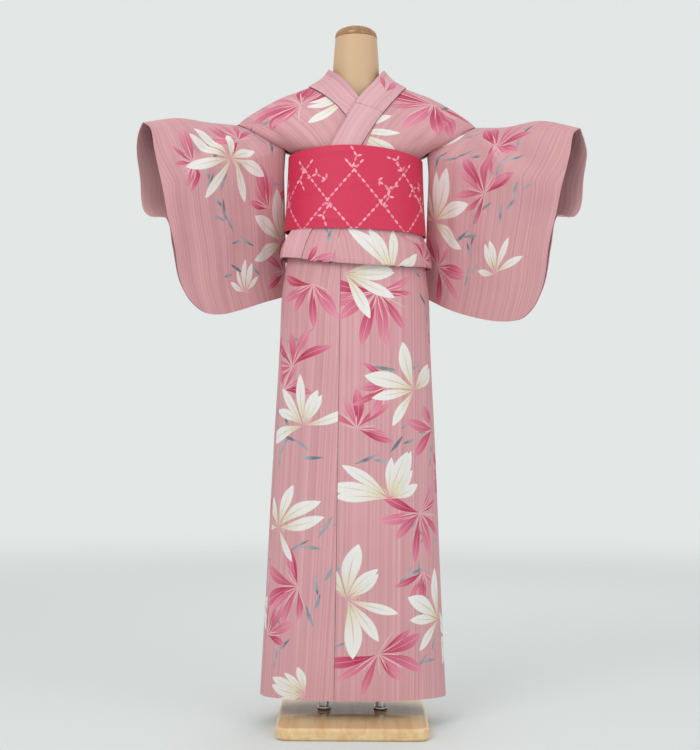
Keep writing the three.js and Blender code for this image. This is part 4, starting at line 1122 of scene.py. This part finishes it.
def chain(u, v, turn, count, tones=(0.9, 0.35, 1.0, 0.6)):
    """A row of lozenges end to end."""
    c, s = math.cos(math.radians(turn)), math.sin(math.radians(turn))
    return [shape(1, u + 13.5 * k * c, v + 13.5 * k * s, turn, 12.0, 4.8, 0,
                  tones[k % len(tones)]) for k in range(count)]


def sprig(u, v, turn):
    """Two pairs of lozenges on a short stalk."""
    tip_u, tip_v = u + 26 * math.cos(math.radians(turn)), v + 26 * math.sin(math.radians(turn))
    foot = chain(u + 2, v + 1, turn + 62, 1, (0.8,)) + chain(u + 2, v - 1, turn - 58, 1, (0.5,))
    tip = chain(tip_u, tip_v, turn + 50, 2, (1.0, 0.7)) + chain(tip_u, tip_v, turn - 55, 1, (0.9,))
    return chain(u, v, turn, 2) + foot + tip


# Share of the height, shift across, and the turn in three repeats, of each sprig between the chains.
SPRIGS = ((0.30, 52, (20, -35, 150)), (0.78, 4, (160, 30, -20)), (0.62, 60, (100, -120, 60)))


def lattice(length, height):
    motifs = []
    for k, v in enumerate(np.arange(-150, length + 150, 112)):
        motifs += chain(-6, v, 41, int(height / 10.5)) + chain(-6, v, -41, int(height / 10.5))
        for share, up, sprig_turns in SPRIGS:
            motifs += sprig(height * share, v + up, sprig_turns[k % 3])
    return motifs


SASH_FOOT, SASH_HEAD = SASH_TABLE["z"][0], SASH_TABLE["z"][-1]


def band(s, p):
    angle = -90 + 359.6 * p + 0 * s
    height = SASH_FOOT + (SASH_HEAD - SASH_FOOT) * s + 0 * p
    width, depth = (smooth(SASH_TABLE, "z", column, height) for column in ("width", "depth"))
    points = ring(width, depth, height, angle, 0)
    arch = SASH_ARCH * np.clip(np.sin(np.radians(angle)), 0, 1) ** 2 * s
    points[..., 2] += arch - SASH_TILT * points[..., 0]
    return points


SASH_CREASES = [(-130, 1196, 20, 1206, 5, 1.4), (60, 1190, 138, 1176, 5, -1.2),
                (-120, 1062, 40, 1056, 6, 1.2),
                (20, 1070, 130, 1052, 6, -1.0), (-60, 1130, 90, 1142, 9, 0.9),
                (-138, 1104, -70, 1118, 8, -1.0)]
cloth_sizes["sash_band"] = sheet(
    "sash_band", band, lattice(830, 163), (sash_cloth,), thick=2.4, seams=(False, False),
    lift=lambda points: crease(SASH_CREASES, points[..., 0], points[..., 2]))[1:]


BOW_Y, BOW_Z = 133, 1138
BOW = {"middle": 81, "reach": 46, "deep": 15, "at_knot": 36, "at_tip": 80, "droop": 10}
KNOT = {"width": 30, "deep": 20, "height": 62}


def bow_loop(side):
    def place(s, p):
        turn = 2 * np.pi * (0.004 + 0.992 * p) + np.pi + 0 * s
        reach = BOW["middle"] + BOW["reach"] * np.cos(turn)
        out = (reach - BOW["middle"] + BOW["reach"]) / (2 * BOW["reach"])
        half = BOW["at_knot"] + (BOW["at_tip"] - BOW["at_knot"]) * np.sqrt(np.clip(out, 0, 1))
        pleats = 2.2 * np.sin(s * 19) * (1 - out) ** 1.5
        y = BOW_Y - 8 * out + (BOW["deep"] - 3 * (1 - out)) * np.sin(turn) + pleats
        return np.stack([side * reach, y, BOW_Z + (2 * s - 1) * half - BOW["droop"] * out], -1)

    return place


def knot(s, p):
    turn = 2 * np.pi * (0.004 + 0.992 * p) + np.pi / 2 + 0 * s
    height = (2 * s - 1) + 0 * p
    full = np.sqrt(np.clip(1 - np.abs(height) ** 3.2, 0, 1)) * 0.85 + 0.15
    full = full * (1 + 0.05 * np.sin(turn * 3 + 1) * (1 - height ** 2))
    return np.stack([-KNOT["width"] * full * np.cos(turn), BOW_Y - 2 + KNOT["deep"] * full * np.sin(turn),
                     BOW_Z + KNOT["height"] * height], -1)


for side, word in ((1, "left"), (-1, "right")):
    cloth_sizes[f"sash_bow_{word}"] = sheet(
        f"sash_bow_{word}", bow_loop(side), lattice(200, 150), (sash_cloth,), thick=1.8, flip=side > 0,
        seams=(False, False))[1:]
cloth_sizes["sash_knot"] = sheet("sash_knot", knot, lattice(120, 124), (sash_cloth,), thick=1.6, flip=True,
                                 seams=(False, False))[1:]

# %% [markdown]
# ## The stand
#
# A beech-capped form on two chromed posts and a pale board.

# %% Form, cap, board, posts and rods
def body_through(name, loops, material, soft_ends=False):
    """A closed body through loops of points, from the lowest up."""
    loops = np.array(loops, float)
    count, around = loops.shape[:2]
    index = np.arange(count * around).reshape(count, around)
    nexts = np.roll(index, -1, axis=1)
    faces = np.stack([index[:-1], nexts[:-1], nexts[1:], index[1:]], -1).reshape(-1, 4).tolist()
    faces += [index[0][::-1].tolist(), index[-1].tolist()]
    mesh = bpy.data.meshes.new(name)
    mesh.from_pydata((loops.reshape(-1, 3) * MM).tolist(), [], faces)
    mesh.materials.append(material)
    mesh.shade_smooth()
    if not soft_ends:
        ends = set(index[0].tolist()), set(index[-1].tolist())
        for edge in mesh.edges:
            a, b = edge.vertices
            edge.use_edge_sharp = any(a in end and b in end for end in ends)
    piece = bpy.data.objects.new(name + "_shown", mesh)
    bpy.context.scene.collection.objects.link(piece)
    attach(piece, "root")
    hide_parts(name)
    return piece


def ovals(rows, around=96, centre=(0, 0)):
    turn = np.linspace(0, 2 * np.pi, around, endpoint=False)
    return [np.stack([centre[0] + w * np.cos(turn), centre[1] + d * np.sin(turn), z + 0 * turn], -1) for z, w,
            d in rows]


FORM = {"z": (640, 900, 1040, 1120, 1190, 1250, 1290, 1318, 1338, 1355, 1378, 1407, 1432, 1468.7),
        "width": (118, 124, 108, 106, 114, 130, 136, 120, 88, 64, 51, 50, 48, 45.5),
        "depth": (80, 82, 72, 70, 76, 70, 58, 54, 52, 52, 50, 49.5, 48, 45.5)}
heights = np.concatenate([np.linspace(640, 1250, 40), np.linspace(1258, 1468.7, 60)])
body_through("dress_form", ovals(zip(heights, smooth(FORM, "z", "width", heights),
                                     smooth(FORM, "z", "depth", heights))), form_skin)

dome = [(1469, 44.6), (1469.6, 45.6), (1470.6, 46), (1474, 46)]
dome += [(1474 + 23 * math.sin(math.radians(t)), 46 * math.cos(math.radians(t))) for t in range(5, 90, 5)]
body_through("neck_cap", ovals([(z, r, r) for z, r in dome]), cap_wood, soft_ends=True)


def board_loop(inset, z):
    points = []
    for quarter, (sx, sy) in enumerate(((1, 1), (-1, 1), (-1, -1), (1, -1))):
        for k in range(13):
            turn = math.radians(90 * quarter + 7.5 * k)
            points.append((sx * 127 + (28 - inset) * math.cos(turn), sy * 172 + (28 - inset) * math.sin(turn),
                           z))
    return points


BOARD_THICK, BOARD_ROUND = 25, 6
turns = [math.radians(t) for t in range(0, 91, 15)]
edge_round = [(BOARD_ROUND - BOARD_ROUND * math.sin(t), BOARD_ROUND - BOARD_ROUND * math.cos(t)) for t in turns]
profile = edge_round + [(inset, BOARD_THICK - z) for inset, z in edge_round[::-1]]
body_through("stand_board", [board_loop(inset, z) for inset, z in profile], board_wood)

ROD = ((92, 2, 1246), (150, 1, 1246), (196, -6, 1240), (240, -30, 1232), (300, -78, 1222), (345, -121, 1212),
       (378, -154, 1200))
for side, word in ((1, "left"), (-1, "right")):
    x = side * 60
    body_through(f"stand_post_{word}", ovals([(z, 10.5, 10.5) for z in (25.3, 300, 639.7)], 48, (x, 0)),
                 chrome)
    ferrule = [(25.3, 14, 14), (31, 14, 14), (32.4, 13.4, 13.4), (33.2, 12.2, 12.2), (33.2, 10.8, 10.8),
               (25.3, 10.8, 10.8)]
    body_through(f"stand_ferrule_{word}", ovals(ferrule, 48, (x, 0)), chrome, soft_ends=True)
    way = curve(np.array(ROD) * [side, 1, 1], np.linspace(0, 1, 40))
    ahead = np.gradient(way, axis=0)
    ahead /= np.linalg.norm(ahead, axis=1, keepdims=True)
    flat = np.cross(ahead, [0, 0, 1])
    flat /= np.linalg.norm(flat, axis=1, keepdims=True)
    up = np.cross(flat, ahead)
    turn = np.linspace(0, 2 * np.pi, 24, endpoint=False)[None, :, None] * side
    tube = way[:, None] + 6 * (np.cos(turn) * flat[:, None] + np.sin(turn) * up[:, None])
    body_through(f"sleeve_rod_{word}", tube, chrome)
print("stand pieces ready")

# %% [markdown]
# ## How many sheets of cloth there are

for name, (size, area) in cloth_sizes.items():
    if name.startswith("sash"):
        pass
    elif name.endswith("sleeve"):
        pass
    else:
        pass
print("sheets declared:", len(cloth_sizes))

# %% [markdown]
# ## Floor, light and camera

# %% Studio
# The paper fades out into the backdrop, so that no edge of it shows from any side.
floor_mesh = bpy.data.meshes.new("studio_floor")
turns = np.linspace(0, 2 * np.pi, 64, endpoint=False)
floor_mesh.from_pydata([(12 * math.cos(t), 12 * math.sin(t), 0) for t in turns], [], [list(range(64))])
paper = plain_material("studio paper", "#d9dddb", 0.9)
tree = paper.node_tree
shader = next(node for node in tree.nodes if node.type == "BSDF_PRINCIPLED")
output = next(node for node in tree.nodes if node.type == "OUTPUT_MATERIAL")
where = add(tree, "ShaderNodeTexCoord").outputs["Object"]
distance = add(tree, "ShaderNodeVectorMath", {0: where}, operation="LENGTH").outputs["Value"]
limits = {"Value": distance, 1: 1.2, 2: 6.0}  # metres from the middle where the fade starts and ends
fade = add(tree, "ShaderNodeMapRange", limits, interpolation_type="SMOOTHSTEP").outputs[0]
clear = add(tree, "ShaderNodeBsdfTransparent").outputs[0]
mixed = add(tree, "ShaderNodeMixShader", {0: fade, 1: shader.outputs[0], 2: clear}).outputs[0]
tree.links.new(mixed, output.inputs["Surface"])
floor_mesh.materials.append(paper)
floor = bpy.data.objects.new("studio_floor", floor_mesh)
bpy.context.scene.collection.objects.link(floor)

world = bpy.data.worlds.new("studio")
bpy.context.scene.world = world
world.use_nodes = True
tree = world.node_tree
tree.nodes.clear()
lit = add(tree, "ShaderNodeBackground", {"Color": "#eef1f2", "Strength": 0.86}).outputs[0]
seen = add(tree, "ShaderNodeBackground", {"Color": "#e3e7e6", "Strength": 1.0}).outputs[0]
by_camera = add(tree, "ShaderNodeLightPath").outputs["Is Camera Ray"]
backdrop = add(tree, "ShaderNodeMixShader", {0: by_camera, 1: lit, 2: seen}).outputs[0]
add(tree, "ShaderNodeOutputWorld", {"Surface": backdrop})

for name, place, aim, size, power in (
    ("key", (-1.5, -2.6, 2.7), (0, 0, 0.8), 1.8, 40),
    ("fill", (2.2, -2.4, 1.6), (0, 0, 0.7), 2.0, 18),
    ("rim", (0.6, 2.6, 2.4), (0, 0, 0.9), 2.0, 16),
):
    light = bpy.data.lights.new(name, "AREA")
    light.size, light.energy = size, power
    lamp = bpy.data.objects.new(name, light)
    lamp.location = place
    lamp.rotation_euler = (Vector(aim) - Vector(place)).to_track_quat("-Z", "Y").to_euler()
    bpy.context.scene.collection.objects.link(lamp)

camera_data = bpy.data.cameras.new("camera")
camera_data.lens, camera_data.sensor_width = 66.96, 36
camera = bpy.data.objects.new("camera", camera_data)
camera.location = (-0.0084, -3.0, 0.607)
camera.rotation_euler = (math.radians(92.5), math.radians(-0.35), 0)
bpy.context.scene.collection.objects.link(camera)
bpy.context.scene.camera = camera
bpy.context.scene.view_settings.view_transform = "Standard"
print("studio ready")
